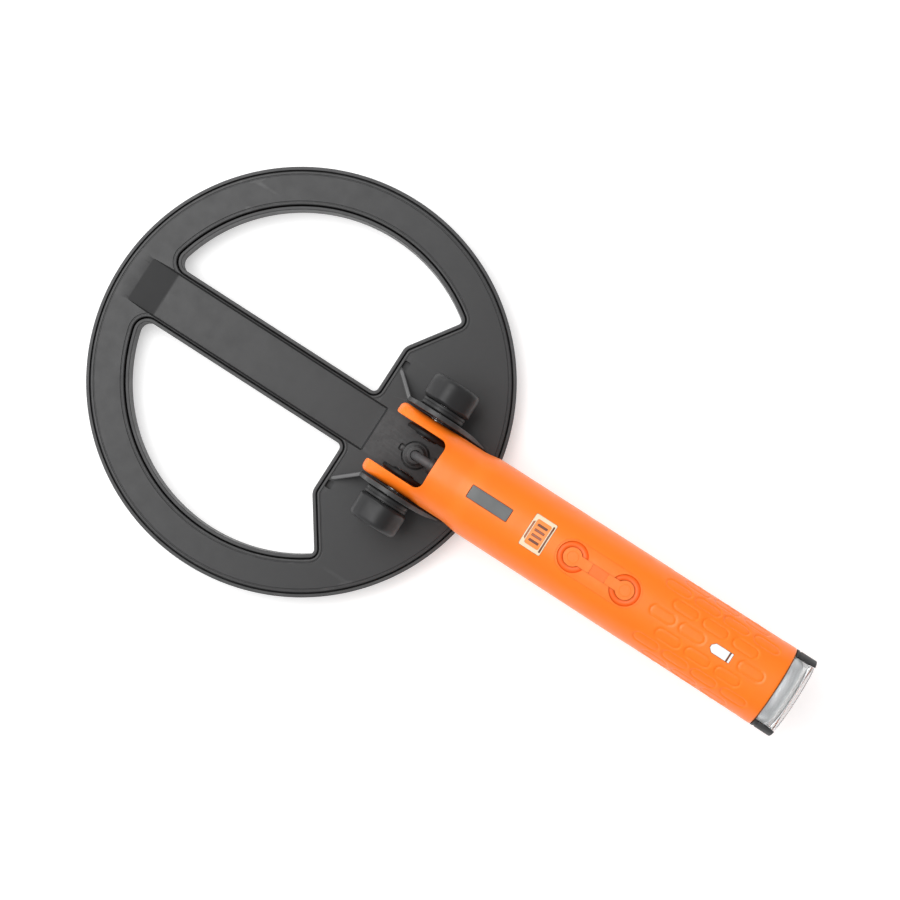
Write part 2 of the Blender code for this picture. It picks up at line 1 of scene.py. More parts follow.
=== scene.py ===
# Looks of the compact underwater metal detector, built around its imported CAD.
# Pieces are modelled in millimetres and scaled to metres; pieces on the handle
# are modelled in the handle's own frame (x along the tube from the hinge axis,
# z up) and then tilted into place.
import math

import bpy
import bmesh
import numpy as np
from mathutils import Matrix, Vector
from mathutils.geometry import tessellate_polygon


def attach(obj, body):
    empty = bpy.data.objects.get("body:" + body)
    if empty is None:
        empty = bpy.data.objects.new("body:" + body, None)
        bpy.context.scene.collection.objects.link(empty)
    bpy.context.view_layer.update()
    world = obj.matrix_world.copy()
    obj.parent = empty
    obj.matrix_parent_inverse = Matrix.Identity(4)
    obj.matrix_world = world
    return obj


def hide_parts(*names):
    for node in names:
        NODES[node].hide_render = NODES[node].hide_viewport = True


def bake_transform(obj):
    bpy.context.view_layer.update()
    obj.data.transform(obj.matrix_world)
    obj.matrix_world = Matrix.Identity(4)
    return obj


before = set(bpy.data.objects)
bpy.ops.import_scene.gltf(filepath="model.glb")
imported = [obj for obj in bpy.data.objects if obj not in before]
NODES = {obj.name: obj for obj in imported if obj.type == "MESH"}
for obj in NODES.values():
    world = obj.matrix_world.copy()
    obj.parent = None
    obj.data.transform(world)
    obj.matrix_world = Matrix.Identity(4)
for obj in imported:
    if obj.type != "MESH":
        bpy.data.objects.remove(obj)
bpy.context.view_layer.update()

MM = 0.001
scene = bpy.context.scene
scene.view_settings.view_transform = "Standard"

# ------------------------------------------------------------ design numbers
COIL_R, COIL_TOP, WIN_R = 100.0, 13.0, 80.0
BAR_HALF, WEB_X = 14.5, 31.6
DIAG_A, DIAG_B = (31.6, 39.8), (47.9, 63.4)
FIL_INNER, FIL_OUTER, FIL_ACUTE, FIL_FAR = 2.4, 6.5, 2.4, 4.8
TROUGH_HALF, TROUGH_Z = 11.1, 10.2
TROUGH_X = (-88.8, -74.9, 39.8, 40.8)
PX, PZ, TILT = 63.0, 35.5, math.radians(7.0)
CT, ST = math.cos(TILT), math.sin(TILT)
EAR_IN, EAR_OUT, EAR_R = 19.2, 21.5, 14.0
PRONG_IN, PRONG_OUT, PRONG_HALF, PRONG_TIP = 12.4, 18.1, 14.0, 17.9
BORE_R = 3.4
TUBE_R, CAVITY_R = 19.5, 15.2
SLOT_END, TUBE_END, TAIL_END = 12.1, 189.3, 199.4
BTN_X, BTN_R, GROOVE_R = (85.3, 112.1), 4.25, 7.05
ROOT_X, TONGUE, KEYPAD_HALF = (94.6, 102.8), 2.35, 7.9
WINDOW_X, GAUGE_X = (31.3, 52.6), (61.8, 72.8)

WORLD = Matrix.Scale(MM, 4)
HANDLE = Matrix(((CT * MM, 0, -ST * MM, PX * MM), (0, MM, 0, 0),
                 (ST * MM, 0, CT * MM, PZ * MM), (0, 0, 0, 1)))
HINGE = Matrix.Translation((PX * MM, 0, PZ * MM)) @ WORLD


def to_world(x, z):
    return (PX + x * CT - z * ST, PZ + x * ST + z * CT)


# ================================================================ materials
class Nodes:
    """Small wrapper that makes a node material easy to write."""

    def __init__(self, name):
        self.m = bpy.data.materials.new(name)
        self.m.use_nodes = True
        self.t = self.m.node_tree
        self.bsdf = self.t.nodes["Principled BSDF"]
        self.tc = self.t.nodes.new("ShaderNodeTexCoord")
        self.obj = self.tc.outputs["Object"]

    def add(self, kind, ins=None, **props):
        n = self.t.nodes.new(kind)
        for k, v in props.items():
            setattr(n, k, v)
        for k, v in (ins or {}).items():
            self.put(n.inputs[k], v)
        return n

    def put(self, socket, v):
        if isinstance(v, bpy.types.NodeSocket):
            self.t.links.new(v, socket)
        else:
            socket.default_value = v

    def mapping(self, scale=(1, 1, 1), rot=(0, 0, 0)):
        n = self.add("ShaderNodeMapping", {"Vector": self.obj})
        n.inputs["Scale"].default_value = scale
        n.inputs["Rotation"].default_value = rot
        return n.outputs["Vector"]

    def noise(self, scale, detail=3.0, rough=0.55, vec=None, distortion=0.0):
        n = self.add("ShaderNodeTexNoise", {
            "Vector": vec or self.obj, "Scale": scale, "Detail": detail,
            "Roughness": rough, "Distortion": distortion})
        return n.outputs["Fac"]

    def voronoi(self, scale, vec=None, feature="F1", out="Distance"):
        n = self.add("ShaderNodeTexVoronoi", {"Vector": vec or self.obj,
                                              "Scale": scale}, feature=feature)
        return n.outputs[out]

    def ramp(self, fac, stops):
        n = self.add("ShaderNodeValToRGB", {"Fac": fac})
        e = n.color_ramp.elements
        while len(e) < len(stops):
            e.new(0.5)
        for el, (p, c) in zip(e, stops):
            el.position = p
            el.color = (c, c, c, 1) if isinstance(c, (int, float)) else (*c, 1)
        return n.outputs["Color"]

    def span(self, v, a, b, c, d):
        n = self.add("ShaderNodeMapRange", {"Value": v, "From Min": a, "From Max": b,
                                            "To Min": c, "To Max": d})
        return n.outputs["Result"]

    def math(self, op, a, b=0.0):
        n = self.t.nodes.new("ShaderNodeMath")
        n.operation = op
        self.put(n.inputs[0], a)
        self.put(n.inputs[1], b)
        return n.outputs[0]

    def mix(self, fac, a, b, blend="MIX"):
        n = self.t.nodes.new("ShaderNodeMixRGB")
        n.blend_type = blend
        self.put(n.inputs["Fac"], fac)
        for k, v in (("Color1", a), ("Color2", b)):
            if isinstance(v, tuple) and len(v) == 3:
                v = (*v, 1.0)
            self.put(n.inputs[k], v)
        return n.outputs["Color"]

    def bump(self, height, strength, distance, normal=None):
        ins = {"Height": height, "Strength": strength, "Distance": distance}
        if normal is not None:
            ins["Normal"] = normal
        return self.add("ShaderNodeBump", ins).outputs["Normal"]

    def geometry(self, out):
        return self.add("ShaderNodeNewGeometry").outputs[out]


def tone(c, f):
    return tuple(max(0.0, min(1.0, x * f)) for x in c)


def moulded(name, base, rough=0.45, vary=0.06, grain=2600.0, grain_h=0.00002,
            grain_s=0.35, wear=0.12, wear_col=None, spec=0.5, scratch=0.3,
            spots=0.0, rot=(0, 0, 0), coat=0.0, sss=0.0, stretch=(1, 1, 1)):
    """Injection-moulded plastic or rubber: fine spark-eroded grain, broad
    tone variation, rubbed edges, faint scratches and dust."""
    k = Nodes(name)
    vec = k.mapping(stretch, rot)
    broad = k.noise(14.0, 3.0, 0.5, vec)
    mid = k.noise(150.0, 4.0, 0.6, vec)
    fine = k.noise(grain, 2.0, 0.6, vec)
    cell = k.voronoi(grain * 0.55, vec)
    col = k.mix(k.span(broad, 0.35, 0.65, 0, 1), tone(base, 1 - vary),
                tone(base, 1 + vary))
    col = k.mix(k.span(mid, 0.4, 0.7, 0, 0.5), col, tone(base, 1 - 1.4 * vary))
    col = k.mix(k.span(fine, 0.3, 0.7, 0, 0.35), col, tone(base, 1 + 1.6 * vary))
    # rubbed edges
    edge = k.ramp(k.geometry("Pointiness"), [(0.505, 0.0), (0.56, 1.0)])
    edge = k.math("MULTIPLY", edge, k.span(k.noise(420.0, 3.0, 0.6, vec),
                                           0.35, 0.65, 0.25, 1.0))
    col = k.mix(k.math("MULTIPLY", edge, wear), col,
                wear_col or tone(base, 1.9))
    # fine hairline scratches running in two directions
    lines = []
    for ang, sc in ((0.5, 1.0), (-0.9, 1.3)):
        v = k.mapping((60.0 * sc, 2200.0 * sc, 60.0), (0.0, 0.0, ang))
        lines.append(k.ramp(k.noise(1.0, 2.0, 0.5, v), [(0.66, 0.0), (0.72, 1.0)]))
    marks = k.math("MULTIPLY", k.math("MAXIMUM", lines[0], lines[1]),
                   k.ramp(k.noise(30.0, 2.0, 0.5, vec), [(0.45, 0.0), (0.7, 1.0)]))
    col = k.mix(k.math("MULTIPLY", marks, 0.10 * scratch), col, tone(base, 1.7))
    if spots:
        dots = k.ramp(k.voronoi(260.0, vec), [(0.05, 1.0), (0.11, 0.0)])
        col = k.mix(k.math("MULTIPLY", dots, spots), col, tone(base, 0.75))
    k.put(k.bsdf.inputs["Base Color"], col)
    r = k.span(mid, 0.3, 0.7, rough - 0.05, rough + 0.06)
    r = k.math("ADD", r, k.math("MULTIPLY", marks, 0.12 * scratch))
    r = k.math("SUBTRACT", r, k.math("MULTIPLY", edge, 0.06))
    k.put(k.bsdf.inputs["Roughness"], r)
    n = k.bump(mid, 0.12, 0.0002)
    n = k.bump(k.math("ADD", fine, k.math("MULTIPLY", cell, 0.4)), grain_s,
               grain_h, n)
    n = k.bump(marks, 0.25 * scratch, 0.00002, n)
    k.put(k.bsdf.inputs["Normal"], n)
    k.bsdf.inputs["Specular IOR Level"].default_value = spec
    if coat:
        k.bsdf.inputs["Coat Weight"].default_value = coat
        k.bsdf.inputs["Coat Roughness"].default_value = 0.25
    if sss:
        k.bsdf.inputs["Subsurface Weight"].default_value = sss
        k.bsdf.inputs["Subsurface Radius"].default_value = (1.0, 0.35, 0.12)
        k.bsdf.inputs["Subsurface Scale"].default_value = 0.0012
    return k.m


def metal(name, base, rough=0.28, turned=(1, 1, 1), lines=0.5):
    """Turned or drawn metal: fine tool lines, smudges and stains."""
    k = Nodes(name)
    vec = k.mapping(turned)
    tool = k.noise(900.0, 4.0, 0.7, vec)
    smudge = k.noise(90.0, 4.0, 0.6)
    col = k.mix(k.span(tool, 0.3, 0.7, 0, 1), tone(base, 0.86), tone(base, 1.08))
    col = k.mix(k.span(smudge, 0.45, 0.75, 0, 0.45), col, tone(base, 0.62))
    k.put(k.bsdf.inputs["Base Color"], col)
    k.bsdf.inputs["Metallic"].default_value = 1.0
    k.put(k.bsdf.inputs["Roughness"],
          k.span(smudge, 0.3, 0.7, rough - 0.07, rough + 0.14))
    k.put(k.bsdf.inputs["Normal"], k.bump(tool, lines, 0.00003))
    return k.m


GREY_SHELL = (0.036, 0.036, 0.0368)
M = {}
M["cover"] = moulded("cover_black", (0.044, 0.044, 0.045), 0.50, 0.10, 1500.0,
                     0.00004, 0.5, 0.35, (0.10, 0.10, 0.10), 0.45, 1.0)
M["shell"] = moulded("shell_grey", GREY_SHELL, 0.35, 0.05, 2600.0, 0.00002, 0.25,
                     0.3, (0.12, 0.12, 0.122), 0.30, 0.8)
M["ear"] = M["shell"]
M["knob"] = moulded("knob_black", (0.021, 0.021, 0.0218), 0.42, 0.08, 2200.0,
                    0.00002, 0.3, 0.3, (0.10, 0.10, 0.10), 0.27, 0.6)
M["rubber"] = moulded("rubber_black", (0.020, 0.020, 0.021), 0.68, 0.12, 1800.0,
                      0.00003, 0.5, 0.2, (0.07, 0.07, 0.07), 0.35, 0.5)
M["lead"] = moulded("lead_jacket", (0.075, 0.075, 0.078), 0.55, 0.10, 1800.0,
                    0.00003, 0.5, 0.1, None, 0.4, 0.5)
ORANGE = (1.0, 0.192, 0.010)
TIP = (0.0, TILT, 0.0)
M["housing"] = moulded("housing_orange", ORANGE, 0.36, 0.035, 2400.0, 0.00002,
                       0.3, 0.10, (1.0, 0.30, 0.06), 0.33, 0.5, 0.10, TIP,
                       sss=0.12)
M["keypad"] = moulded("keypad_silicone", (0.98, 0.185, 0.010), 0.52, 0.04, 1700.0,
                      0.00003, 0.4, 0.08, (1.0, 0.34, 0.10), 0.4, 0.4, 0.0, TIP,
                      sss=0.15)
# darker orange than the keypad: painted shade of the groove round each key
M["web"] = moulded("web_silicone_painted_shade", (0.86, 0.122, 0.005), 0.45, 0.05, 1700.0,
                   0.00003, 0.4, 0.08, (1.0, 0.25, 0.05), 0.4, 0.3, 0.0, TIP)
M["panel"] = moulded("gauge_insert", (1.0, 0.25, 0.035), 0.40, 0.04, 2400.0,
                     0.00002, 0.3, 0.05, (1.0, 0.4, 0.2), 0.5, 0.3, 0.0, TIP)
M["window_grey"] = moulded("window_smoke", (0.084, 0.089, 0.090), 0.36, 0.06,
                           3000.0, 0.00001, 0.2, 0.05, None, 0.38, 0.8, 0.0, TIP,
                           coat=0.1)
M["bezel"] = moulded("bezel_cream", (0.80, 0.64, 0.43), 0.38, 0.03, 2600.0,
                     0.00002, 0.25, 0.1, (1.0, 0.92, 0.8), 0.5, 0.4, 0.0, TIP)
M["bar"] = moulded("bar_brown", (0.13, 0.030, 0.008), 0.35, 0.15, 2600.0,
                   0.00002, 0.3, 0.1, (0.3, 0.1, 0.04), 0.5, 0.3, 0.0, TIP)
M["bar_light"] = moulded("bar_brown_light", (0.30, 0.075, 0.022), 0.35, 0.15,
                         2600.0, 0.00002, 0.3, 0.1, (0.4, 0.14, 0.06), 0.5, 0.3,
                         0.0, TIP)
M["window_white"] = moulded("window_milky", (0.84, 0.84, 0.81), 0.22, 0.02, 2600.0,
                            0.00001, 0.2, 0.05, (1, 1, 1), 0.5, 0.4, 0.0, TIP,
                            coat=0.3)
M["collar"] = moulded("collar_black", (0.008, 0.008, 0.0084), 0.50, 0.10, 2200.0,
                      0.00002, 0.35, 0.2, (0.04, 0.04, 0.04), 0.18, 0.8)
M["patch"] = moulded("keypad_patch", (0.84, 0.138, 0.006), 0.55, 0.05, 1700.0,
                     0.00003, 0.4, 0.08, (1.0, 0.34, 0.10), 0.4, 0.4, 0.0, TIP)
M["inner"] = moulded("inner_black", (0.020, 0.020, 0.021), 0.55, 0.10, 1800.0,
                     0.00003, 0.4, 0.2, None, 0.4, 0.5)
M["resin"] = moulded("cast_resin", (0.014, 0.014, 0.016), 0.22, 0.2, 600.0,
                     0.00004, 0.3, 0.1, None, 0.5, 0.4, 0.3, coat=0.4)
M["steel"] = metal("steel_turned", (0.60, 0.60, 0.61), 0.26, (1, 6, 1))
# dark metal nuts, made near black as painted shade of the slot between the prongs
M["nut"] = metal("nut_dark_metal_painted_shade", (0.030, 0.030, 0.032), 0.48, (1, 6, 1))


def reflector():
    """Vacuum-metallised plastic: bright, slightly satin, faint mould lines."""
    k = Nodes("reflector_bright")
    broad = k.noise(60.0, 2.0)
    fine = k.noise(1800.0, 2.0, 0.5, k.mapping((1, 6, 1)))
    k.put(k.bsdf.inputs["Base Color"],
          k.mix(k.span(broad, 0.3, 0.7, 0, 1), (0.90, 0.905, 0.915),
                (0.95, 0.95, 0.955)))
    k.bsdf.inputs["Metallic"].default_value = 0.7
    k.put(k.bsdf.inputs["Roughness"], k.span(fine, 0.3, 0.7, 0.46, 0.54))
    k.put(k.bsdf.inputs["Normal"], k.bump(fine, 0.05, 0.00001))
    return k.m


def copper():
    k = Nodes("copper_winding")
    w = k.add("ShaderNodeTexWave", {"Vector": k.obj, "Scale": 900.0,
                                    "Distortion": 1.5, "Detail": 2.0},
              wave_type="BANDS", bands_direction="Z").outputs["Fac"]
    n = k.noise(240.0, 3.0)
    col = k.mix(k.span(w, 0.2, 0.8, 0, 1), (0.42, 0.13, 0.05), (0.78, 0.32, 0.14))
    col = k.mix(k.span(n, 0.5, 0.8, 0, 0.6), col, (0.25, 0.07, 0.03))
    k.put(k.bsdf.inputs["Base Color"], col)
    k.bsdf.inputs["Metallic"].default_value = 0.9
    k.put(k.bsdf.inputs["Roughness"], k.span(n, 0.3, 0.7, 0.25, 0.45))
    k.put(k.bsdf.inputs["Normal"], k.bump(w, 0.7, 0.0002))
    return k.m


def board():
    k = Nodes("solder_mask")
    b = k.add("ShaderNodeTexBrick", {"Vector": k.obj, "Scale": 140.0,
                                     "Mortar Size": 0.03})
    b.inputs["Color1"].default_value = (0.012, 0.10, 0.03, 1)
    b.inputs["Color2"].default_value = (0.015, 0.13, 0.04, 1)
    b.inputs["Mortar"].default_value = (0.03, 0.22, 0.07, 1)
    pads = k.ramp(k.voronoi(330.0), [(0.10, 1.0), (0.14, 0.0)])
    col = k.mix(pads, b.outputs["Color"], (0.62, 0.60, 0.52))
    k.put(k.bsdf.inputs["Base Color"], col)
    k.put(k.bsdf.inputs["Metallic"], k.math("MULTIPLY", pads, 0.9))
    k.put(k.bsdf.inputs["Roughness"], k.span(k.noise(200.0), 0.3, 0.7, 0.28, 0.42))
    k.put(k.bsdf.inputs["Normal"], k.bump(k.math(
        "ADD", b.outputs["Fac"], pads), 0.4, 0.00005))
    return k.m


def cell():
    k = Nodes("cell_sleeve")
    w = k.noise(60.0, 3.0)
    r = k.add("ShaderNodeTexWave", {"Vector": k.mapping((1, 1, 1), TIP),
                                    "Scale": 8.0, "Distortion": 0.0},
              bands_direction="X").outputs["Fac"]
    band = k.ramp(r, [(0.90, 0.0), (0.93, 1.0)])
    col = k.mix(k.span(w, 0.3, 0.7, 0, 1), (0.018, 0.07, 0.24), (0.035, 0.12, 0.36))
    col = k.mix(band, col, (0.75, 0.76, 0.78))
    k.put(k.bsdf.inputs["Base Color"], col)
    k.put(k.bsdf.inputs["Roughness"], k.span(w, 0.3, 0.7, 0.2, 0.36))
    k.put(k.bsdf.inputs["Normal"], k.bump(k.noise(110.0, 4.0), 0.3, 0.0002))
    return k.m


def clear():
    k = Nodes("clear_plastic")
    n = k.noise(70.0, 3.0)
    k.put(k.bsdf.inputs["Base Color"],
          k.mix(n, (0.93, 0.95, 0.96), (0.97, 0.98, 0.98)))
    k.bsdf.inputs["Transmission Weight"].default_value = 0.92
    k.bsdf.inputs["IOR"].default_value = 1.49
    scr = k.ramp(k.noise(1.0, 2.0, 0.5, k.mapping((80, 2400, 80), (0.3, 0.2, 0.4))),
                 [(0.62, 0.0), (0.72, 1.0)])
    k.put(k.bsdf.inputs["Roughness"],
          k.math("ADD", k.span(n, 0.3, 0.7, 0.03, 0.06), k.math("MULTIPLY", scr, 0.08)))
    k.put(k.bsdf.inputs["Normal"], k.bump(k.math(
        "ADD", k.noise(240.0, 2.0), k.math("MULTIPLY", scr, 0.4)), 0.06, 0.00005))
    return k.m


def lamp():
    k = Nodes("lamp_epoxy")
    n = k.noise(500.0, 2.0)
    g = k.voronoi(900.0)
    col = k.mix(k.span(n, 0.3, 0.7, 0, 1), (0.92, 0.88, 0.45), (0.98, 0.96, 0.72))
    col = k.mix(k.span(g, 0.0, 0.5, 0.3, 0.0), col, (0.85, 0.72, 0.2))
    k.put(k.bsdf.inputs["Base Color"], col)
    k.bsdf.inputs["Coat Weight"].default_value = 0.6
    k.put(k.bsdf.inputs["Roughness"], k.span(n, 0.3, 0.7, 0.15, 0.3))
    k.put(k.bsdf.inputs["Normal"], k.bump(n, 0.15, 0.00005))
    return k.m


M["copper"], M["board"], M["cell"] = copper(), board(), cell()
M["lens"], M["lamp"] = clear(), lamp()
M["reflector"] = reflector()
# lighter grey for the rib crests: painted highlight, standing in for the light on their
# sloping tops
M["gusset"] = moulded("gusset_crest_painted_highlight", (0.115, 0.115, 0.117), 0.36, 0.06, 2600.0,
                      0.00002, 0.25, 0.3, (0.2, 0.2, 0.2), 0.4, 0.8)


def floor_material():
    k = Nodes("floor_pale")
    n = k.noise(9.0, 3.0)
    f = k.noise(700.0, 2.0)
    col = k.mix(k.span(n, 0.3, 0.7, 0, 1), (0.77, 0.77, 0.77), (0.79, 0.79, 0.79))
    k.put(k.bsdf.inputs["Base Color"], col)
    k.put(k.bsdf.inputs["Roughness"], k.span(f, 0.3, 0.7, 0.75, 0.85))
    k.bsdf.inputs["Specular IOR Level"].default_value = 0.2
    k.bsdf.inputs["Emission Color"].default_value = (1, 1, 1, 1)
    k.bsdf.inputs["Emission Strength"].default_value = 0.42
    k.put(k.bsdf.inputs["Normal"], k.bump(f, 0.05, 0.00005))
    return k.m


# ================================================================ mesh tools
XYZ = {"z": lambda u, v, w: (u, v, w), "y": lambda u, v, w: (u, w, v),
       "x": lambda u, v, w: (w, u, v)}


def stack(levels, axis="z"):
    """Closed solid through levels of (loops, height); the loops of all levels
    have matching points."""
    put = XYZ[axis]
    bm = bmesh.new()
    rows = [[[bm.verts.new(put(u, v, w)) for u, v in lp] for lp in loops]
            for loops, w in levels]
    for a, b in zip(rows, rows[1:]):
        for la, lb in zip(a, b):
            n = len(la)
            for i in range(n):
                j = (i + 1) % n
                bm.faces.new((la[i], la[j], lb[j], lb[i]))
    for row, (loops, _) in ((rows[0], levels[0]), (rows[-1], levels[-1])):
        if len(loops) == 1:
            bm.faces.new(row[0])
            continue
        flat = [v for lp in row for v in lp]
        for t in tessellate_polygon([[Vector((u, v, 0)) for u, v in lp]
                                     for lp in loops]):
            try:
                bm.faces.new([flat[i] for i in t])
            except ValueError:
                pass
    return bm


def prism(loops, lo, hi, axis="z"):
    return stack([(loops, lo), (loops, hi)], axis)


def skin_rings(rings, closed_u=False, cap=True):
    """Closed surface through rings of points (all the same length); a ring of
    one point closes an end, closed_u joins the last ring to the first."""
    bm = bmesh.new()
    rows = [[bm.verts.new(tuple(map(float, p))) for p in ring] for ring in rings]
    pairs = list(zip(rows, rows[1:]))
    if closed_u:
        pairs.append((rows[-1], rows[0]))
    for a, b in pairs:
        n = max(len(a), len(b))
        for i in range(n):
            j = (i + 1) % n
            if len(a) == 1:
                bm.faces.new((a[0], b[i], b[j]))
            elif len(b) == 1:
                bm.faces.new((a[i], a[j], b[0]))
            else:
                bm.faces.new((a[i], a[j], b[j], b[i]))
    if cap and not closed_u:
        for r in (rows[0], rows[-1]):
            if len(r) > 2:
                bm.faces.new(r)
    return bm


def revolve(profile, seg, axis="x", closed=False, shape=None):
    """Turn (position along the axis, radius) points about the axis; shape(a, t)
    scales the radius round the turn."""
    put = {"x": lambda a, y, z: (a, y, z), "y": lambda a, y, z: (y, a, z),
           "z": lambda a, y, z: (y, z, a)}[axis]
    rings = []
    for a, r in profile:
        if r < 1e-9:
            rings.append([put(a, 0, 0)])
            continue
        ring = []
        for i in range(seg):
            t = 2 * math.pi * i / seg
            k = r * (shape(a, r, t) if shape else 1.0)
            ring.append(put(a, k * math.cos(t), k * math.sin(t)))
        rings.append(ring)
    return skin_rings(rings, closed, False)


def circle(r, seg, cx=0.0, cy=0.0, phase=0.0):
    return [(cx + r * math.cos(phase + 2 * math.pi * i / seg),
             cy + r * math.sin(phase + 2 * math.pi * i / seg))
            for i in range(seg)]


def arc(cx, cy, r, a0, a1, n):
    return [(cx + r * math.cos(math.radians(a0 + (a1 - a0) * i / n)),
             cy + r * math.sin(math.radians(a0 + (a1 - a0) * i / n)))
            for i in range(n + 1)]


def stadium(cx, cy, half_len, r, n=24):
    k = half_len - r
    return arc(cx + k, cy, r, -90, 90, n) + arc(cx - k, cy, r, 90, 270, n)


def rounded(x0, x1, y0, y1, r, n=6):
    return (arc(x1 - r, y1 - r, r, 0, 90, n) + arc(x0 + r, y1 - r, r, 90, 180, n)
            + arc(x0 + r, y0 + r, r, 180, 270, n)
            + arc(x1 - r, y0 + r, r, 270, 360, n))


def fillet(profile, radii, n=5):
    """Round the inner points of an open (or, with radii at both ends, any)
    profile of (a, r) points; radii gives each point's radius."""
    out = []
    m = len(profile)
    for i, (p, rad) in enumerate(zip(profile, radii)):
        if rad <= 0 or i in (0, m - 1):
            out.append(p)
            continue
        p = Vector(p)
        a, b = Vector(profile[i - 1]) - p, Vector(profile[i + 1]) - p
        la, lb = a.length, b.length
        a, b = a / la, b / lb
        ang = a.angle(b)
        if ang > math.pi - 0.02:
            out.append(tuple(p))
            continue
        d = min(rad / math.tan(ang / 2), la * 0.49, lb * 0.49)
        s, e = p + a * d, p + b * d
        for k in range(n + 1):
            t = k / n
            q = s * (1 - t) ** 2 + p * 2 * t * (1 - t) + e * t * t
            out.append((q.x, q.y))
    return out


def offset(loop, d):
    """Move a closed outline inwards by d (outline given counter-clockwise)."""
    n = len(loop)
    area = sum(loop[i][0] * loop[(i + 1) % n][1] - loop[(i + 1) % n][0] * loop[i][1]
               for i in range(n))
    sgn = 1.0 if area > 0 else -1.0
    out = []
    for i in range(n):
        p0, p1, p2 = (Vector(loop[(i + k) % n]) for k in (-1, 0, 1))
        e1, e2 = p1 - p0, p2 - p1
        if e1.length < 1e-9 or e2.length < 1e-9:
            out.append(tuple(p1))
            continue
        e1.normalize()
        e2.normalize()
        n1, n2 = Vector((-e1.y, e1.x)) * sgn, Vector((-e2.y, e2.x)) * sgn
        m = n1 + n2
        if m.length < 1e-6:
            out.append(tuple(p1))
            continue
        m.normalize()
        q = p1 + m * (d / max(0.5, m.dot(n1)))
        out.append((q.x, q.y))
    return out


def clean(bm, dist=1e-4):
    bmesh.ops.remove_doubles(bm, verts=bm.verts, dist=dist)
    bmesh.ops.recalc_face_normals(bm, faces=bm.faces)
    return bm


def temp(bm, name="tmp"):
    clean(bm)
    me = bpy.data.meshes.new(name)
    bm.to_mesh(me)
    bm.free()
    ob = bpy.data.objects.new(name, me)
    scene.collection.objects.link(ob)
    return ob


def booleans(bm, ops):
    """Apply (operation, bmesh) pairs in order and return the new bmesh."""
    base = temp(bm, "base")
    others = []
    for op, other in ops:
        o = temp(other, "tool")
        others.append(o)
        m = base.modifiers.new("b", "BOOLEAN")
        m.operation, m.solver, m.object = op, "EXACT", o
    bpy.context.view_layer.update()
    dg = bpy.context.evaluated_depsgraph_get()
    me = bpy.data.meshes.new_from_object(base.evaluated_get(dg))
    out = bmesh.new()
    out.from_mesh(me)
    bpy.data.meshes.remove(me)
    for o in [base] + others:
        data = o.data
        bpy.data.objects.remove(o)
        bpy.data.meshes.remove(data)
    bmesh.ops.remove_doubles(out, verts=out.verts, dist=1e-4)
    bmesh.ops.dissolve_degenerate(out, dist=1e-4, edges=out.edges)
    return out


def piece(name, bm, mat, body, repl=(), M4=WORLD, angle=32,
          weighted=False):
    clean(bm)
    bm.transform(M4)
    me = bpy.data.meshes.new(name)
    bm.to_mesh(me)
    bm.free()
    me.materials.append(M[mat])
    me.shade_smooth()
    me.set_sharp_from_angle(angle=math.radians(angle))
    ob = bpy.data.objects.new(name, me)
    scene.collection.objects.link(ob)
    if weighted:
        w = ob.modifiers.new("weighted", "WEIGHTED_NORMAL")
        w.keep_sharp = True
        w.weight = 60
    if body:
        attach(ob, body)
    if repl:
        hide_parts(*repl)
    return ob


def smooth(a, b, t):
    t = max(0.0, min(1.0, (t - a) / (b - a)))
    return t * t * (3 - 2 * t)


# ================================================================ the coil
def window(d, side):
    """Outline of one window of the coil, grown by d into the material."""
    ax, ay = DIAG_A
    bx, by = DIAG_B
    ln = math.hypot(bx - ax, by - ay)
    nx, ny = (by - ay) / ln, -(bx - ax) / ln
    m = nx * ax + ny * ay + d
    ra, yb, xe = WIN_R + d, BAR_HALF - d, WEB_X + d
    r = FIL_INNER + d
    pts = arc(xe - r, yb + r, r, -90, 0, 10)
    r = FIL_OUTER - d
    cx = xe + r
    cy = (m + r - nx * cx) / ny
    a_end = math.degrees(math.atan2(-ny, -nx)) % 360
    pts += arc(cx, cy, r, 180, a_end, 8)
    r = FIL_ACUTE + d
    q = m - r
    t = math.sqrt((ra - r) ** 2 - q ** 2)
    cx, cy = nx * q + -ny * t, ny * q + nx * t
    a0 = math.degrees(math.atan2(ny, nx))
    a1 = math.degrees(math.atan2(cy, cx))
    pts += arc(cx, cy, r, a0, a1, 12)
    r2 = FIL_FAR + d
    cy2 = yb + r2
    cx2 = -math.sqrt((ra - r2) ** 2 - cy2 ** 2)
    b1 = math.degrees(math.atan2(cy2, cx2))
    pts += arc(0, 0, ra, a1, b1, 100)[1:-1]
    pts += arc(cx2, cy2, r2, b1, 270, 12)
    return [(x, side * y) for x, y in pts]


COIL_SEG = 288


def coil_solid(path):
    return stack([([circle(COIL_R - d, COIL_SEG), window(d, 1), window(d, -1)], z)
                  for d, z in path])


cover_path = fillet(
    [(2.0, 0.0), (0.0, 0.0), (0.0, 12.2), (1.55, 12.2), (1.55, 10.2), (2.0, 9.9),
     (2.0, 1.5)],
    [0, 2.4, 0.55, 0.22, 0.1, 0.1, 0], 5)
cover_path[0] = (2.9, 0.0)
piece("coil_cover", coil_solid(cover_path), "cover", "coil",
      ["coil_skid_cover"], weighted=True)

shell_path = [(4.0, 7.6), (4.0, 3.9), (2.3, 3.9)] + fillet(
    [(2.3, 11.0), (2.3, 12.97), (3.4, 12.97), (3.55, 12.72), (3.9, 12.72),
     (4.1, 13.0), (4.5, 13.0), (5.4, 13.0)],
    [0, 0.95, 0.12, 0.1, 0.1, 0.12, 0, 0], 4)
shell = coil_solid(shell_path)


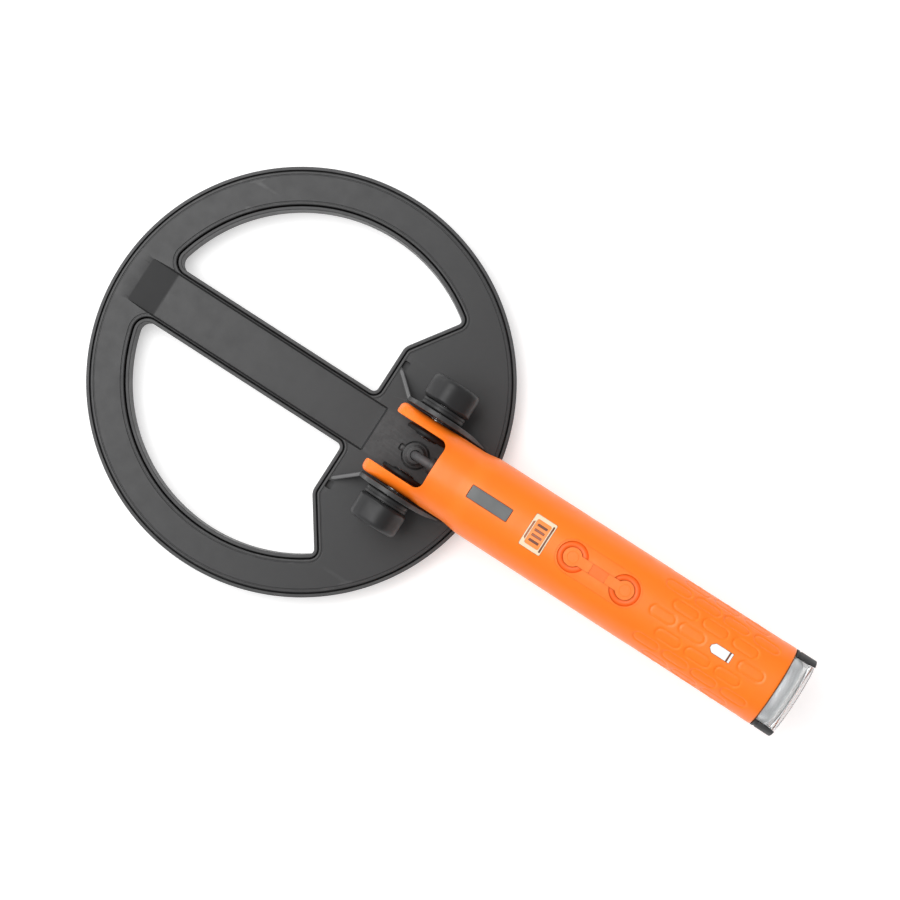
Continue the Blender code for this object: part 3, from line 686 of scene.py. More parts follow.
def trough_cutter():
    """Trough along the bar: drafted sides, a ramp at the far end."""
    x0, x1, x2, x3 = TROUGH_X
    k0 = (COIL_TOP - TROUGH_Z) / (x1 - x0)
    k1 = (COIL_TOP - TROUGH_Z) / (x3 - x2)

    def floor(x):
        if x < x1:
            z = TROUGH_Z + (x1 - x) * k0
        elif x > x2:
            z = TROUGH_Z + (x - x2) * k1
        else:
            z = TROUGH_Z
        # slightly rounded folds
        for f, k, sgn, w in ((x1, k0, -1, 0.6), (x2, k1, 1, 0.2)):
            dx = (x - f) * sgn
            if abs(dx) < w:
                z = TROUGH_Z + k * (dx + w) ** 2 / (4 * w)
        return z

    xs = [x0 - 1.2, x0 - 0.2, x0 + 0.5, x0 + 3.0, x1 - 3.0, x1 - 0.6, x1 - 0.3, x1,
          x1 + 0.3, x1 + 0.6, x1 + 3, -40, 0, x2 - 3, x2 - 0.2, x2 - 0.1, x2,
          x2 + 0.1, x2 + 0.2, x2 + 0.6, x3 - 0.2, x3 + 0.05, x3 + 0.5]
    rings = []
    for x in xs:
        z = floor(x)
        depth = COIL_TOP - z
        k = max(0.02, min(1.0, depth / 1.4))
        rt, rb = 0.16 * k, 0.30 * k
        half = TROUGH_HALF
        side = []
        zt = max(COIL_TOP, z + 0.03)
        out = 0.62 * k
        side.append((half + out + rt + 0.3, 17.0))
        side.append((half + out + rt + 0.3, zt + 0.6))
        side += [(half + out + rt - rt * math.sin(a), zt - rt + rt * math.cos(a))
                 for a in [math.pi / 2 * i / 4 for i in range(5)]]
        lo = min(z, zt - rt - 0.001)
        side += [(half - rb + rb * math.cos(a), lo + rb - rb * math.sin(a))
                 for a in [math.pi / 2 * i / 5 for i in range(6)]]
        ring = side + [(-y, zz) for y, zz in reversed(side)]
        rings.append([(x, y, zz) for y, zz in ring])
    return skin_rings(rings)


def spline(points, n):
    """Smooth curve through points (Catmull-Rom)."""
    pts = [Vector(p) for p in points]
    pts = [2 * pts[0] - pts[1]] + pts + [2 * pts[-1] - pts[-2]]
    out = []
    for i in range(1, len(pts) - 2):
        for k in range(n):
            t = k / n
            a, b, c, d = pts[i - 1:i + 3]
            out.append(0.5 * ((2 * b) + (c - a) * t + (2 * a - 5 * b + 4 * c - d)
                              * t * t + (3 * b - a - 3 * c + d) * t ** 3))
    out.append(pts[-2])
    return [tuple(p) for p in out]


def ear_outline():
    start = [(45.8, 12.0), (45.8, 19.0)] + spline(
        [(45.8, 22.0), (46.3, 27.0), (47.8, 34.0)], 5)
    top = arc(PX, PZ, EAR_R, 160, 40, 36)
    ex, ez = top[-1]
    tail = spline([(ex, ez), (78.6, 36.2), (83.0, 26.6), (87.0, 20.4),
                   (89.4, 15.5), (90.0, 12.0)], 6)[1:]
    return start + top + tail


def slab(outline, hole, lo, hi, r=0.45):
    """Plate with a bore and rounded outer edges, thickness along Y."""
    lv = []
    for k in range(4):
        a = math.pi / 2 * k / 3
        lv.append((r * (1 - math.sin(a)), lo + r * (1 - math.cos(a))))
    lv += [(d, hi - (y - lo)) for d, y in reversed(lv)]
    return stack([([offset(outline, d), hole], y) for d, y in lv], "y")


def rib(p, q, zp, zq, half, side, foot=12.0, r=0.45):
    """Thin upright rib from p to q, its top sloping from zp to zq."""
    p, q = Vector(p), Vector(q)
    d = (q - p).normalized()
    nrm = Vector((-d.y, d.x))
    rings = []
    for t in (0.0, 0.25, 0.5, 0.75, 0.93, 1.0):
        c = p.lerp(q, t)
        z = zp + (zq - zp) * t - 0.9 * math.sin(math.pi * t)
        h = half
        if t == 1.0:
            h, z = half - 0.35, z - 0.35
        prof = [(-h, foot), (-h, z - r), (-h + 0.13 * r / 0.45, z - 0.3 * r),
                (-h + r, z), (h - r, z), (h - 0.13 * r / 0.45, z - 0.3 * r),
                (h, z - r), (h, foot)]
        rings.append([(c.x + nrm.x * a, side * (c.y + nrm.y * a), b)
                      for a, b in prof])
    return skin_rings(rings)


ops = [("DIFFERENCE", trough_cutter())]
# channel for the winding, inside
ops.append(("DIFFERENCE", revolve(
    [(6.5, 88.6), (11.3, 88.6), (11.3, 93.4), (6.5, 93.4)], 96, "z", True)))
for side in (1, -1):
    lo, hi = sorted((side * EAR_IN, side * EAR_OUT))
    ops.append(("UNION", slab(ear_outline(), circle(BORE_R, 32, PX, PZ), lo, hi)))
    ops.append(("UNION", rib((46.9, 20.3), (35.9, 29.8), 27.0, 14.2, 1.05, side,
                            r=0.22)))
    # the ear thins towards its rear foot
    ops.append(("DIFFERENCE", prism([[(x, side * y) for x, y in (
        (78.5, EAR_OUT + 0.01), (82.0, EAR_OUT - 0.3), (87.0, EAR_OUT - 1.4),
        (91.0, EAR_OUT - 2.6), (91.0, EAR_OUT + 1.5), (78.5, EAR_OUT + 1.5))]],
        13.02, 60.0)))
    # small relief beside the rib's foot
    ops.append(("DIFFERENCE", prism([[(x, side * y) for x, y in rounded(
        35.2, 38.3, 30.7, 34.8, 0.7, 4)]], 9.8, 14.0)))
lead_cut = revolve([(6.0, 0), (6.0, 2.7), (15.0, 2.7), (15.0, 0)], 40, "z")
# sunk seat round the strain relief's flange
seat = revolve([(11.0, 5.6), (15.0, 5.6), (15.0, 6.75), (11.0, 6.75)], 80, "z",
               True)
seat_tab = prism([rounded(-8.8, -5.9, -1.8, 1.8, 1.0, 5)], 11.0, 15.0)
for o in (lead_cut, seat, seat_tab):
    o.transform(Matrix.Translation((PX, 0, 0)))
    ops.append(("DIFFERENCE", o))
shell = booleans(shell, ops)
piece("coil_shell", shell, "shell", "coil", ["coil_top_shell"],
      angle=28, weighted=True)

# lighter grey crests of the two ribs: painted highlight standing in for the light
# caught by their sloping tops
for side, tag in ((1, "left"), (-1, "right")):
    piece("gusset_crest_" + tag, rib((46.9, 20.3), (35.9, 29.8), 27.06, 14.26, 0.74,
                                     side, 12.6, 0.15), "gusset", "coil", ())

# strain relief on the coil: flange with a key and a ribbed spigot
boss_prof = fillet(
    [(13.3, 2.5), (13.3, 6.0), (15.2, 6.0), (15.2, 4.9), (15.9, 4.9), (15.9, 4.5),
     (16.5, 4.5), (16.5, 4.15), (18.6, 4.15), (18.6, 2.5)],
    [0.1, 0.15, 0.35, 0.15, 0.2, 0.1, 0.2, 0.1, 0.35, 0], 4)
boss = revolve(boss_prof + [(18.3, 2.35), (13.5, 2.35)], 72, "z", True)
tab = stack([([offset(rounded(-8.0, -4.0, -1.1, 1.1, 0.8), d)], z)
             for d, z in ((0, 13.3), (0, 14.7), (0.12, 14.92), (0.4, 15.0))])
boss = booleans(boss, [("UNION", tab)])
boss.transform(Matrix.Translation((PX, 0, 0)))
piece("lead_spigot", boss, "shell", "coil", ["lead_boss"])

# ---------------------------------------------------------------- lead
def bezier(p0, p1, p2, p3, n):
    out = []
    for i in range(n + 1):
        t = i / n
        out.append(tuple((1 - t) ** 3 * a + 3 * (1 - t) ** 2 * t * b
                         + 3 * (1 - t) * t * t * c + t ** 3 * d
                         for a, b, c, d in zip(p0, p1, p2, p3)))
    return out


def tube(path, radius, seg=28, dome=0.0):
    """Round tube along a path in the XZ plane."""
    pts = [Vector((x, 0, z)) for x, z in path]
    rings = []
    for i, p in enumerate(pts):
        t = (pts[min(i + 1, len(pts) - 1)] - pts[max(i - 1, 0)]).normalized()
        side = Vector((0, 1, 0))
        up = t.cross(side)
        rings.append([tuple(p + (side * math.cos(a) + up * math.sin(a)) * radius)
                      for a in [2 * math.pi * k / seg for k in range(seg)]])
    return skin_rings(rings)


low, high = (PX, 20.0), to_world(8.2, -1.0)
route = [(PX, 8.2), (PX, 11), (PX, 14.0), (PX, 17)] + \
    bezier(low, (PX, 29.5), to_world(0.4, -1.0), high, 48) + \
    [to_world(x, -1.0) for x in (10.0, 12.0, 15.0, 18.0, 22.5)]
lead = piece("lead_cable", tube(route, 2.15), "lead", None,
             ["search_lead"])
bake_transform(lead)


# ================================================================ clamp parts
def knob_shape(phase, lobes=5, amp=0.05):
    def shape(a, r, t):
        # lobes along the grip, fading out at the neck
        body = smooth(26.0, 27.8, abs(a)) * smooth(7.5, 10.0, r)
        w = 0.5 - 0.5 * math.cos(lobes * (t - phase))
        return 1.0 - amp * body * (w ** 1.15)
    return shape


knob_prof = fillet(
    [(33.4, 3.4), (25.7, 3.4), (25.7, 10.7), (26.9, 12.0), (37.5, 12.0),
     (37.5, 6.0), (36.9, 5.4), (36.9, 0.0)],
    [0, 0.2, 0.35, 0.9, 3.6, 0.35, 0.5, 0], 8)
# extra sections along the grip keep the lobes smooth
full = []
for p, q in zip(knob_prof, knob_prof[1:]):
    full.append(p)
    steps = int(math.hypot(q[0] - p[0], q[1] - p[1]) // 1.2)
    full += [(p[0] + (q[0] - p[0]) * k / (steps + 1),
              p[1] + (q[1] - p[1]) * k / (steps + 1)) for k in range(1, steps + 1)]
knob_prof = full + [knob_prof[-1]]

for side, tag, body, phase in ((1, "left", "knob_left", math.pi),
                               (-1, "right", "knob_right", 0.0)):
    kb = revolve([(33.4, 0.0)] + [(side * a, r) if False else (a, r)
                                  for a, r in knob_prof], 160, "y", False,
                 knob_shape(phase))
    if side < 0:
        kb.transform(Matrix.Scale(-1, 4, (0, 1, 0)))
    piece("grip_knob_" + tag, kb, "knob", body, ["thumb_knob_" + tag],
          HINGE)
    # bolt with a threaded end
    th = [(8.4, 0.0), (8.4, 2.2), (8.75, 2.85)]
    a = 8.9
    while a < 13.6:
        th += [(a, 3.0), (a + 0.35, 2.62)]
        a += 0.7
    th += [(14.0, 3.0), (33.1, 3.0), (33.1, 0.0)]
    piece("bolt_" + tag, revolve([(side * x, r) for x, r in th], 40, "y"),
          "steel", body, ["clamp_bolt_" + tag], HINGE)
    # collar: a plain ring with a fine groove round its middle
    cp = fillet([(21.8, 3.4), (21.8, 10.3), (22.4, 10.8), (23.5, 10.8),
                 (23.65, 10.55), (23.95, 10.55), (24.1, 10.8), (25.0, 10.8),
                 (25.4, 10.4), (25.4, 3.4)],
                [0, 0.3, 0.3, 0.1, 0.05, 0.05, 0.1, 0.3, 0.2, 0], 4)

    ring = revolve([(side * x, r) for x, r in cp], 120, "y", True)
    piece("collar_ring_" + tag, ring, "knob", "coil", ["knob_collar_" + tag],
          HINGE)
    wp = fillet([(18.4, 3.5), (18.4, 9.6), (18.9, 9.6), (18.9, 3.5)],
                [0, 0.12, 0.12, 0], 3)
    piece("washer_" + tag, revolve([(side * x, r) for x, r in wp], 96, "y", True),
          "rubber", "coil", ["friction_washer_" + tag], HINGE)
    # the nut seat takes the collar's darkest black: painted shade of the slot between
    # the prongs
    np_ = fillet([(12.1, 6.5), (9.6, 6.5), (9.6, 10.3), (11.1, 10.3), (12.1, 9.0)],
                 [0, 0.15, 0.4, 0.3, 0], 5)
    piece("nut_seat_" + tag, revolve([(side * x, r) for x, r in np_], 96, "y",
                                     True), "collar", "handle",
          ["nut_plate_" + tag], HANDLE)
    # hexagon nut, its faces chamfered towards the bolt
    hexa = prism([circle(5.7, 6, phase=math.pi / 6), circle(3.15, 36)],
                 8.9, 12.1, "y")
    cone = revolve([(8.0, 0.0), (8.0, 4.35), (8.9, 4.95), (9.5, 5.9), (12.8, 5.9),
                    (12.8, 0.0)], 72, "y")
    nut = booleans(hexa, [("INTERSECT", cone)])
    if side < 0:
        nut.transform(Matrix.Scale(-1, 4, (0, 1, 0)))
    piece("nut_" + tag, nut, "nut", "handle", ["clamp_nut_" + tag],
          HANDLE, angle=25)

# ================================================================ housing
SEG = 288


def body_r(s):
    return 18.3 + 1.2 * smooth(25.5, 35.8, s)


def section(s):
    """(half width, half height, exponent) of the housing's outside at s."""
    r = body_r(s)
    a = PRONG_OUT + (r - PRONG_OUT) * smooth(0.0, 14.0, s)
    b = PRONG_HALF + 0.2 + (r - PRONG_HALF - 0.2) * smooth(0.5, 13.5, s)
    n = 3.7 + (2.0 - 3.7) * smooth(0.0, 15.0, s)
    if s < 0:
        b *= math.sqrt(max(1e-5, 1 - (s / PRONG_TIP) ** 2))
    q = -(PRONG_TIP - 3.0) - s
    if q > 0:
        a -= 3.0 - math.sqrt(max(0.0, 9.0 - q * q))
    return a, b, n


PAD_EVEN, PAD_ODD = (131.8, 146.6, 161.2, 176.4), (139.0, 154.0, 169.2)


def pad_depth(s, phi):
    """Pill-shaped grip marks in staggered rows round the grip."""
    step = math.radians(22.5)
    k = round(phi / step)
    dy = abs(phi - k * step) * TUBE_R
    best = 0.0
    for sc in (PAD_EVEN if k % 2 == 0 else PAD_ODD):
        if k % 16 == 0 and abs(sc - 161.2) < 1:
            continue
        dx = max(abs(s - sc) - 3.7, 0.0)
        d = math.hypot(dx, dy) - 2.45
        # an engraved line round a slightly sunk pad
        best = max(best, 0.30 * math.exp(-(d / 0.42) ** 2)
                   + 0.10 * (1 - smooth(-0.5, 0.4, d)))
    return best


def ring_at(s, dr=0.0, pads=False):
    a, b, n = section(s)
    out = []
    for i in range(SEG):
        t = 2 * math.pi * i / SEG
        st, ct = math.sin(t), math.cos(t)
        e = 2.0 / n
        y = (a - dr) * math.copysign(abs(st) ** e, st)
        z = (b - dr) * math.copysign(abs(ct) ** e, ct)
        if pads:
            d = pad_depth(s, t)
            y -= d * st
            z -= d * ct
        out.append((s, y, z))
    return out


def circ(s, r):
    return [(s, r * math.sin(2 * math.pi * i / SEG),
             r * math.cos(2 * math.pi * i / SEG)) for i in range(SEG)]


stations = [-PRONG_TIP * math.cos(math.radians(a)) for a in
            (4, 7, 10.5, 14.5, 19, 24, 29, 34, 40, 46, 52, 58, 65, 72, 80)]
stations += [0.0] + [1.5 * k for k in range(1, 17)] + \
    [25.0 + 1.0 * k for k in range(0, 12)] + [37.5, 41, 45, 49, 53, 57, 61, 65, 69,
                                              73, 77, 81, 85, 89, 93, 97, 101, 105,
                                              109, 113, 117, 121]
rings = [ring_at(s) for s in stations]
s = 124.0
while s <= 186.01:
    rings.append(ring_at(s, 0.0, True))
    s += 0.4
rings += [circ(187.4, TUBE_R), circ(188.3, TUBE_R)]
rings += [circ(TUBE_END - 0.7 + 0.7 * math.sin(a), TUBE_R - 0.6 + 0.6 * math.cos(a))
          for a in (0.35, 0.8, 1.2, math.pi / 2)]
rings += [circ(TUBE_END, 18.0), circ(TUBE_END, 15.6), circ(TUBE_END - 0.25, 15.28),
          circ(TUBE_END - 0.7, CAVITY_R), circ(TUBE_END - 3, CAVITY_R),
          circ(150.0, CAVITY_R), circ(100.0, CAVITY_R), circ(50.0, CAVITY_R),
          circ(22.6, CAVITY_R), circ(21.2, 14.9), circ(20.3, 14.0),
          circ(20.0, 12.8)]
house = skin_rings(rings)

MID = sum(BTN_X) / 2
HALF_PAD = (BTN_X[1] - BTN_X[0]) / 2 + KEYPAD_HALF
slot_loop = ([(-24.0, -14.4), (-PRONG_TIP, -14.4)]
             + arc(-PRONG_TIP + 2.0, -14.4, 2.0, 180, 90, 6)[1:]
             + arc(SLOT_END - 4.0, -PRONG_IN + 4.0, 4.0, -90, 0, 10)
             + arc(SLOT_END - 4.0, PRONG_IN - 4.0, 4.0, 0, 90, 10)
             + arc(-PRONG_TIP + 2.0, 14.4, 2.0, 270, 180, 6)
             + [(-24.0, 14.4)])
house_ops = [("DIFFERENCE", prism([slot_loop], -26.0, 26.0)),
             ("DIFFERENCE", revolve([(-24.0, 0.0), (-24.0, BORE_R), (24.0, BORE_R),
                                     (24.0, 0.0)], 48, "y"))]
entry = revolve([(8.0, 0.0), (8.0, 2.6), (24.0, 2.6), (24.0, 0.0)], 40)
entry.transform(Matrix.Translation((0, 0, -1.0)))
house_ops.append(("DIFFERENCE", entry))
house_ops.append(("DIFFERENCE", prism(
    [stadium(MID, 0, HALF_PAD, KEYPAD_HALF, 32)], 16.4, 22.0)))
for bx in BTN_X:
    sw = revolve([(14.0, 0.0), (14.0, 1.9), (18.0, 1.9), (18.0, 0.0)], 24, "z")
    sw.transform(Matrix.Translation((bx, 0, 0)))
    house_ops.append(("DIFFERENCE", sw))
house_ops.append(("DIFFERENCE", prism(
    [rounded(WINDOW_X[0], WINDOW_X[1], -3.3, 3.3, 0.4, 5)], 17.6, 22.0)))
house_ops.append(("DIFFERENCE", prism(
    [rounded(GAUGE_X[0], GAUGE_X[1], -7.95, 7.95, 0.6, 5)], 16.4, 22.0)))


def bullet(d):
    pts = [(155.9 + d * 1.3, 0.7), (157.6 + d * 0.5, 2.4 - d), (166.6 - d, 2.4 - d),
           (166.6 - d, -2.4 + d), (157.6 + d * 0.5, -2.4 + d),
           (155.9 + d * 1.3, -0.7)]
    return pts


house_ops.append(("DIFFERENCE", prism([bullet(0.0)], 17.4, 22.0)))
house = booleans(house, house_ops)
piece("housing_shell", house, "housing", "handle", ["handle_housing"],
      HANDLE, angle=30)


# ------------------------------------------------- pieces let into the housing
def skin(drop, s0=26.0, s1=180.0):
    """Solid inside the housing's surface, lowered by drop."""
    ss = [s0 + k for k in range(0, 12)] + [38.0, 60.0, 90.0, 120.0, 150.0, s1]
    rings = [circ(x, body_r(x) - drop) for x in ss if s0 <= x <= s1]
    return skin_rings(rings)


def inlaid(loops, floor, drop, s0=26.0, s1=180.0):
    return booleans(prism(loops, floor, 21.6), [("INTERSECT", skin(drop, s0, s1))])


def on_tube(x, y, drop=0.0, radius=TUBE_R):
    r = radius - drop
    return (x, y, math.sqrt(max(0.0, r * r - y * y)))


def bead(path, half, rise, drop, sink=0.5, n=10, closed=True, keep=None):
    """Low rounded bead lying on the tube along a path of (x, y) points.

    keep = (x, side, y): on that side of x the bead stays |y| off the middle."""
    m = len(path)

    def put(q, d):
        y = q.y
        if keep and (q.x - keep[0]) * keep[1] > 0 and abs(y) < keep[2]:
            y = math.copysign(keep[2], y)
        return on_tube(q.x, y, d)

    rings = []
    for i, p in enumerate(path):
        a = Vector(path[(i - 1) % m] if closed or i else p)
        b = Vector(path[(i + 1) % m] if closed or i < m - 1 else p)
        t = (b - a).normalized()
        nrm = Vector((-t.y, t.x))
        ring = []
        for k in range(n + 1):
            ang = math.pi * k / n
            q = Vector(p) + nrm * (half * math.cos(ang))
            ring.append(put(q, drop - rise * math.sin(ang)))
        for sgn in (-1, 1):
            q = Vector(p) + nrm * (half * sgn)
            ring.append(put(q, drop + sink))
        rings.append(ring)
    return skin_rings(rings, closed, not closed)


# display window: smoked pane with a slightly lowered face
piece("display_pane", inlaid(
    [rounded(WINDOW_X[0] + 0.32, WINDOW_X[1] - 0.32, -3.0, 3.0, 0.35, 5)],
    17.9, 0.20), "window_grey", "handle", ["display_window"],
    HANDLE)

# gauge: bezel with two inlaid strips, insert and four bars
BAR_Y = (-3.72, -1.24, 1.24, 3.72)
left_strip = [(62.45, -4.0), (63.35, -4.75), (63.35, 4.75), (62.45, 4.0)]
right_strip = rounded(71.35, 72.2, -6.6, 6.6, 0.25, 3)
bezel = inlaid([rounded(GAUGE_X[0] + 0.15, GAUGE_X[1] - 0.15, -7.8, 7.8, 0.6, 6)],
               16.7, 0.0)
bezel = booleans(bezel, [
    ("DIFFERENCE", prism([rounded(63.65, 71.0, -6.05, 6.05, 0.9, 8)], 15.0, 23.0)),
    ("DIFFERENCE", prism([left_strip], 18.2 - 1.2, 23.0)),
    ("DIFFERENCE", prism([right_strip], 17.2 - 1.2, 23.0))])
piece("gauge_frame", bezel, "bezel", "handle", ["gauge_bezel"], HANDLE)
for nm, loop in (("gauge_strip_rear", left_strip), ("gauge_strip_front",
                                                    right_strip)):
    lp = offset(loop, 0.04)
    piece(nm, inlaid([lp], 17.3 if "front" in nm else 17.9, 0.06),
          "bar" if "front" in nm else "bar_light",
          "handle", (), HANDLE)
insert = inlaid([rounded(63.72, 70.93, -5.98, 5.98, 0.85, 8)], 16.7, 0.10)
insert = booleans(insert, [("DIFFERENCE", prism([rounded(
    64.85, 69.85, y - 0.62, y + 0.62, 0.3, 4)], 15.0, 23.0)) for y in BAR_Y])
piece("gauge_insert", insert, "panel", "handle", ["gauge_panel"], HANDLE)
for i, y in enumerate(BAR_Y):
    outer = i in (0, 3)
    h = 0.52 if outer else 0.42
    piece("gauge_light_%d" % (i + 1), inlaid(
        [rounded(64.95, 69.75, y - h, y + h, 0.3, 4)], 16.8, 0.14),
        "bar" if outer else "bar_light", "handle", ["gauge_bar_%d" % (i + 1)],
        HANDLE)

# lamp window: milky pane with a dark seal line towards its flat end
lw = inlaid([bullet(0.2)], 17.7, 0.05)
lw = booleans(lw, [("DIFFERENCE", prism(
    [[(164.6, -3), (165.45, -3), (165.45, 3), (164.6, 3)]], 18.7, 22.0))])
piece("lamp_pane", lw, "window_white", "handle", ["lamp_window"],
      HANDLE)


piece("lamp_seal", inlaid([[(164.66, -2.15), (165.39, -2.15), (165.39, 2.15),
                            (164.66, 2.15)]], 18.75, 0.09), "bar", "handle", (),
      HANDLE)


# keypad
def keyhole(cx, r, half, root, seg=56, fil=0.0):
    sgn = 1 if root > cx else -1
    a = math.degrees(math.asin(half / r))
    pts = [(cx + sgn * x, y) for x, y in arc(0, 0, r, a, 360 - a, seg)]
    return pts + [(root, -half), (root, half)]


kf_ops = []
for cx, root in ((BTN_X[0], ROOT_X[0] + 0.05), (BTN_X[1], ROOT_X[1] - 0.05)):
    kf_ops.append(("DIFFERENCE", prism(
        [keyhole(cx, GROOVE_R, TONGUE + 0.12, root)], 15.0, 23.0)))
# lowered patch between the two tongues
kf_ops.append(("DIFFERENCE", prism(
    [rounded(ROOT_X[0] + 0.12, ROOT_X[1] - 0.12, -TONGUE - 0.15, TONGUE + 0.15,
             0.3, 4)], 18.2, 23.0)))
kf = booleans(inlaid([stadium(MID, 0, HALF_PAD - 0.08, KEYPAD_HALF - 0.08, 40)],
                     16.7, 0.02), kf_ops)
piece("keypad_surround", kf, "keypad", "handle", ["keypad_frame"],
      HANDLE)

piece("keypad_patch", inlaid([rounded(
    ROOT_X[0] + 0.15, ROOT_X[1] - 0.15, -TONGUE - 0.05, TONGUE + 0.05, 0.25, 4)],
    18.25, 0.12), "patch", "handle", (), HANDLE)

for name, cx, root, body in (("power", BTN_X[0], ROOT_X[0], "key_power"),
                             ("mode", BTN_X[1], ROOT_X[1], "key_mode")):
    key = inlaid([keyhole(cx, BTN_R, TONGUE, root)], 17.6, 0.0)
    piece("key_" + name + "_pad", key, "keypad", body, ["button_" + name],
          HANDLE)
    # raised ring on the key, for finding it by touch
    piece("key_" + name + "_ring", bead(circle(2.55, 72, cx, 0), 0.28, 0.10, 0.02),
          "keypad", body, (), HANDLE)
    sgn = 1 if root > cx else -1
    # rounded web in the groove round the key, open where the tongue passes; its darker
    # orange is painted shade of the groove
    r_mid = (BTN_R + GROOVE_R) / 2 + 0.08
    for nm, hw, rise, drop, off in (("web", 1.08, 0.42, 0.62, 0.30),
                                    ("bed", 1.24, 0.12, 0.66, 0.16)):
        off += TONGUE
        gap = math.degrees(math.asin(off / (r_mid + hw)))
        path = [(cx + sgn * x, y) for x, y in arc(0, 0, r_mid, gap, 360 - gap, 90)]
        piece("key_%s_%s" % (name, nm),
              bead(path, hw, rise, drop, 0.8, 12, False, (cx, sgn, off)),
              "web", "handle", (), HANDLE)

# ================================================================ tail
gl = fillet([(8.2, 2.45), (8.2, 3.9), (9.9, 3.9), (10.3, 3.3), (11.8, 3.3),
             (11.8, 2.45)], [0, 0.35, 0.3, 0.2, 0.1, 0], 4)
gland = revolve(gl, 56, "x", True)
gland.transform(Matrix.Translation((0, 0, -1.0)))
piece("gland_ring", gland, "shell", "handle", ["lead_gland"], HANDLE)

collar = revolve(fillet(
    [(177.0, 13.0), (177.0, 11.6), (190.9, 11.6), (190.9, 14.8), (186.4, 14.8),
     (186.4, 13.4), (184.2, 13.4), (184.2, 14.8), (181.8, 14.8), (181.8, 13.4),
     (179.6, 13.4), (179.6, 14.8), (177.0, 14.8)],
    [0, 0.3, 0.3, 0.3, 0.1, 0.1, 0.1, 0.1, 0.1, 0.1, 0.1, 0.1, 0], 3), 96, "x",
    True)
tail_ops = []
RAIL_Y = 16.4
a0 = math.degrees(math.acos(RAIL_Y / TUBE_R))
for side in (1, -1):
    def rail_loop(drop):
        r = TUBE_R - drop
        y0 = RAIL_Y + drop * 0.5
        a = math.degrees(math.acos(y0 / r))
        return [(side * y, z) for y, z in arc(0, 0, r, -a, a, 24)]
    lv = [(0.0, 189.6), (0.0, 190.6), (0.35, 190.85), (0.35, 191.3), (0.0, 191.6),
          (0.0, 198.9), (0.08, 199.15), (0.25, 199.33), (0.5, TAIL_END)]
    tail_ops.append(("UNION", stack([([rail_loop(d)], x) for d, x in lv], "x")))
    lo, hi = sorted((side * 12.5, side * 17.2))
    tail_ops.append(("UNION", prism([rounded(lo, hi, -7.0, 7.0, 0.3, 3)],
                                    189.6, 190.9, "x")))
collar = booleans(collar, tail_ops)
piece("tail_frame", collar, "collar", "handle", ["tail_collar"], HANDLE)

LENS_Y, LENS_R = 16.1, TUBE_R - 0.1


def lens_loop(drop):
    r, yy = LENS_R - drop, LENS_Y - drop * 0.6
    a = math.degrees(math.acos(yy / r))
    return arc(0, 0, r, a, 180 - a, 40) + arc(0, 0, r, 180 + a, 360 - a, 40)


lens = stack([([lens_loop(d)], x) for d, x in (
    (0.25, 189.6), (0.0, 189.85), (0.0, 192.5), (0.0, 196.0), (0.0, 198.3),
    (0.06, 198.65), (0.25, 198.95), (0.5, 199.1))], "x")
cavity = stack([([lens_loop(d)], x) for d, x in (
    (1.5, 188.0), (1.5, 194.0), (1.5, 196.2), (1.65, 196.8), (2.1, 197.3),
    (2.8, 197.5))], "x")
notch = prism([rounded(-22.0, 22.0, -7.4, 7.4, 0.5, 3)], 185.0, 191.2, "x")
lens = booleans(lens, [("DIFFERENCE", cavity), ("DIFFERENCE", notch)])
piece("tail_window", lens, "lens", "handle", ["tail_lens"], HANDLE)

led = revolve(fillet([(187.7, 0.0), (187.7, 3.4), (188.7, 3.4), (188.7, 2.6),
                      (190.2, 2.5), (191.5, 1.8), (191.7, 0.0)],
                     [0, 0.1, 0.2, 0.1, 0.4, 0.8, 0], 5), 48)
piece("lamp_dome", led, "lamp", "handle", ["tail_lamp"], HANDLE)

# bright reflector lining the lens round the lamp
refl = stack([([lens_loop(d), lens_loop(d + t)], x) for d, t, x in (
    (1.75, 0.5, 189.65), (1.62, 0.7, 189.75), (1.62, 0.7, 191.6),
    (1.72, 0.7, 192.5), (2.0, 0.7, 193.4), (2.5, 0.7, 194.2), (3.2, 0.7, 194.9),
    (4.0, 0.7, 195.4), (4.2, 0.4, 195.5))], "x")
refl = booleans(refl, [("DIFFERENCE", prism([rounded(
    -22.0, 22.0, -7.45, 7.45, 0.5, 3)], 185.0, 191.25, "x"))])
piece("tail_reflector", refl, "reflector", "handle", (), HANDLE)

# ================================================================ inner nodes
for node, mat in (("coil_base_plate", "shell"), ("coil_potting", "resin"),
                  ("coil_winding", "copper"), ("circuit_board", "board"),
                  ("switch_power", "inner"), ("switch_mode", "inner"),
                  ("battery_cell", "cell"), ("battery_cradle", "inner"),
                  ("vibration_motor", "steel"), ("buzzer", "inner"),
                  ("tail_oring_1", "rubber"), ("tail_oring_2", "rubber"),
                  ("lamp_board", "board")):
    ob = NODES[node]
    ob.data.materials.clear()
    ob.data.materials.append(M[mat])

# ================================================================ studio
me = bpy.data.meshes.new("studio_floor")
nn = 24
half = 14.0
verts = [(-half + 2 * half * i / nn, -half + 2 * half * j / nn, -0.0003)
         for j in range(nn + 1) for i in range(nn + 1)]
faces = [(j * (nn + 1) + i, j * (nn + 1) + i + 1, (j + 1) * (nn + 1) + i + 1,
          (j + 1) * (nn + 1) + i) for j in range(nn) for i in range(nn)]
me.from_pydata(verts, [], faces)
me.materials.append(floor_material())
ground = bpy.data.objects.new("studio_floor", me)
scene.collection.objects.link(ground)

world = bpy.data.worlds.new("studio_world")
scene.world = world
world.use_nodes = True
wt = world.node_tree
bg = wt.nodes["Background"]
bg.inputs["Color"].default_value = (1.0, 1.0, 1.0, 1.0)
# the room is brighter on the far side of the coil and dims to the horizon
tc = wt.nodes.new("ShaderNodeTexCoord")
sep = wt.nodes.new("ShaderNodeSeparateXYZ")
wt.links.new(tc.outputs["Generated"], sep.inputs["Vector"])


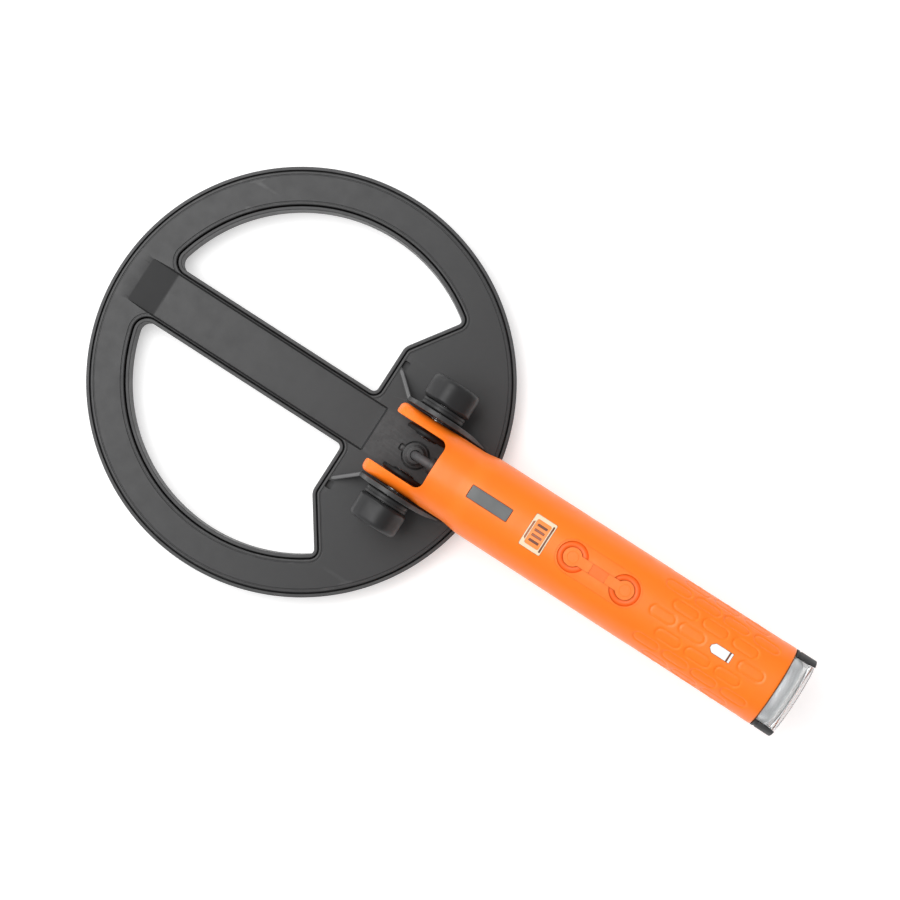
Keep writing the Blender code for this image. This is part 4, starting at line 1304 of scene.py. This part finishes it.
def w_range(out, a, b, c, d):
    n = wt.nodes.new("ShaderNodeMapRange")
    n.interpolation_type = "SMOOTHSTEP"
    wt.links.new(out, n.inputs["Value"])
    for key, v in (("From Min", a), ("From Max", b), ("To Min", c), ("To Max", d)):
        n.inputs[key].default_value = v
    return n.outputs["Result"]


mul = wt.nodes.new("ShaderNodeMath")
mul.operation = "MULTIPLY"
wt.links.new(w_range(sep.outputs["X"], 0.40, -0.5, 0.38, 1.05), mul.inputs[0])
wt.links.new(w_range(sep.outputs["Z"], 0.0, 0.9, 0.10, 1.05), mul.inputs[1])
# a low strip of light beyond the coil
low_ = wt.nodes.new("ShaderNodeMath")
low_.operation = "MULTIPLY"
wt.links.new(w_range(sep.outputs["X"], -0.50, -0.70, 0.0, 1.1), low_.inputs[0])
wt.links.new(w_range(sep.outputs["Z"], 0.30, 0.48, 1.0, 0.0), low_.inputs[1])
tot = wt.nodes.new("ShaderNodeMath")
tot.operation = "ADD"
wt.links.new(mul.outputs[0], tot.inputs[0])
wt.links.new(low_.outputs[0], tot.inputs[1])
# pale haze along the horizon, so that the backdrop stays light
haze = wt.nodes.new("ShaderNodeMath")
haze.operation = "ADD"
wt.links.new(tot.outputs[0], haze.inputs[0])
wt.links.new(w_range(sep.outputs["Z"], 0.05, 0.28, 0.55, 0.0), haze.inputs[1])
wt.links.new(haze.outputs[0], bg.inputs["Strength"])


def area(name, loc, sx, sy, radiance, target):
    li = bpy.data.lights.new(name, "AREA")
    li.shape, li.size, li.size_y = "RECTANGLE", sx, sy
    li.energy = radiance * math.pi * sx * sy
    ob = bpy.data.objects.new(name, li)
    scene.collection.objects.link(ob)
    ob.location = loc
    ob.rotation_mode = "QUATERNION"
    ob.rotation_quaternion = (Vector(target) - Vector(loc)).to_track_quat("-Z", "Y")
    return ob


# one large soft box overhead, on the far side of the coil
key = area("key_light", (-0.81, 0.0, 1.6), 1.37, 1.5, 3.98, (-0.81, 0.0, 0.0))
key.rotation_mode = "XYZ"
key.rotation_euler = (0, 0, 0)

cam = bpy.data.cameras.new("photo_camera")
cam.lens, cam.sensor_width = 76.8, 36.0
cam.clip_start, cam.clip_end = 0.01, 20.0
co = bpy.data.objects.new("photo_camera", cam)
scene.collection.objects.link(co)
co.location = (75.06 * MM, 0.0, 903.0 * MM)
cam.shift_x, cam.shift_y = 0.01409, 0.02186
co.rotation_euler = (0, 0, math.radians(32.8))
scene.camera = co

bpy.context.view_layer.update()
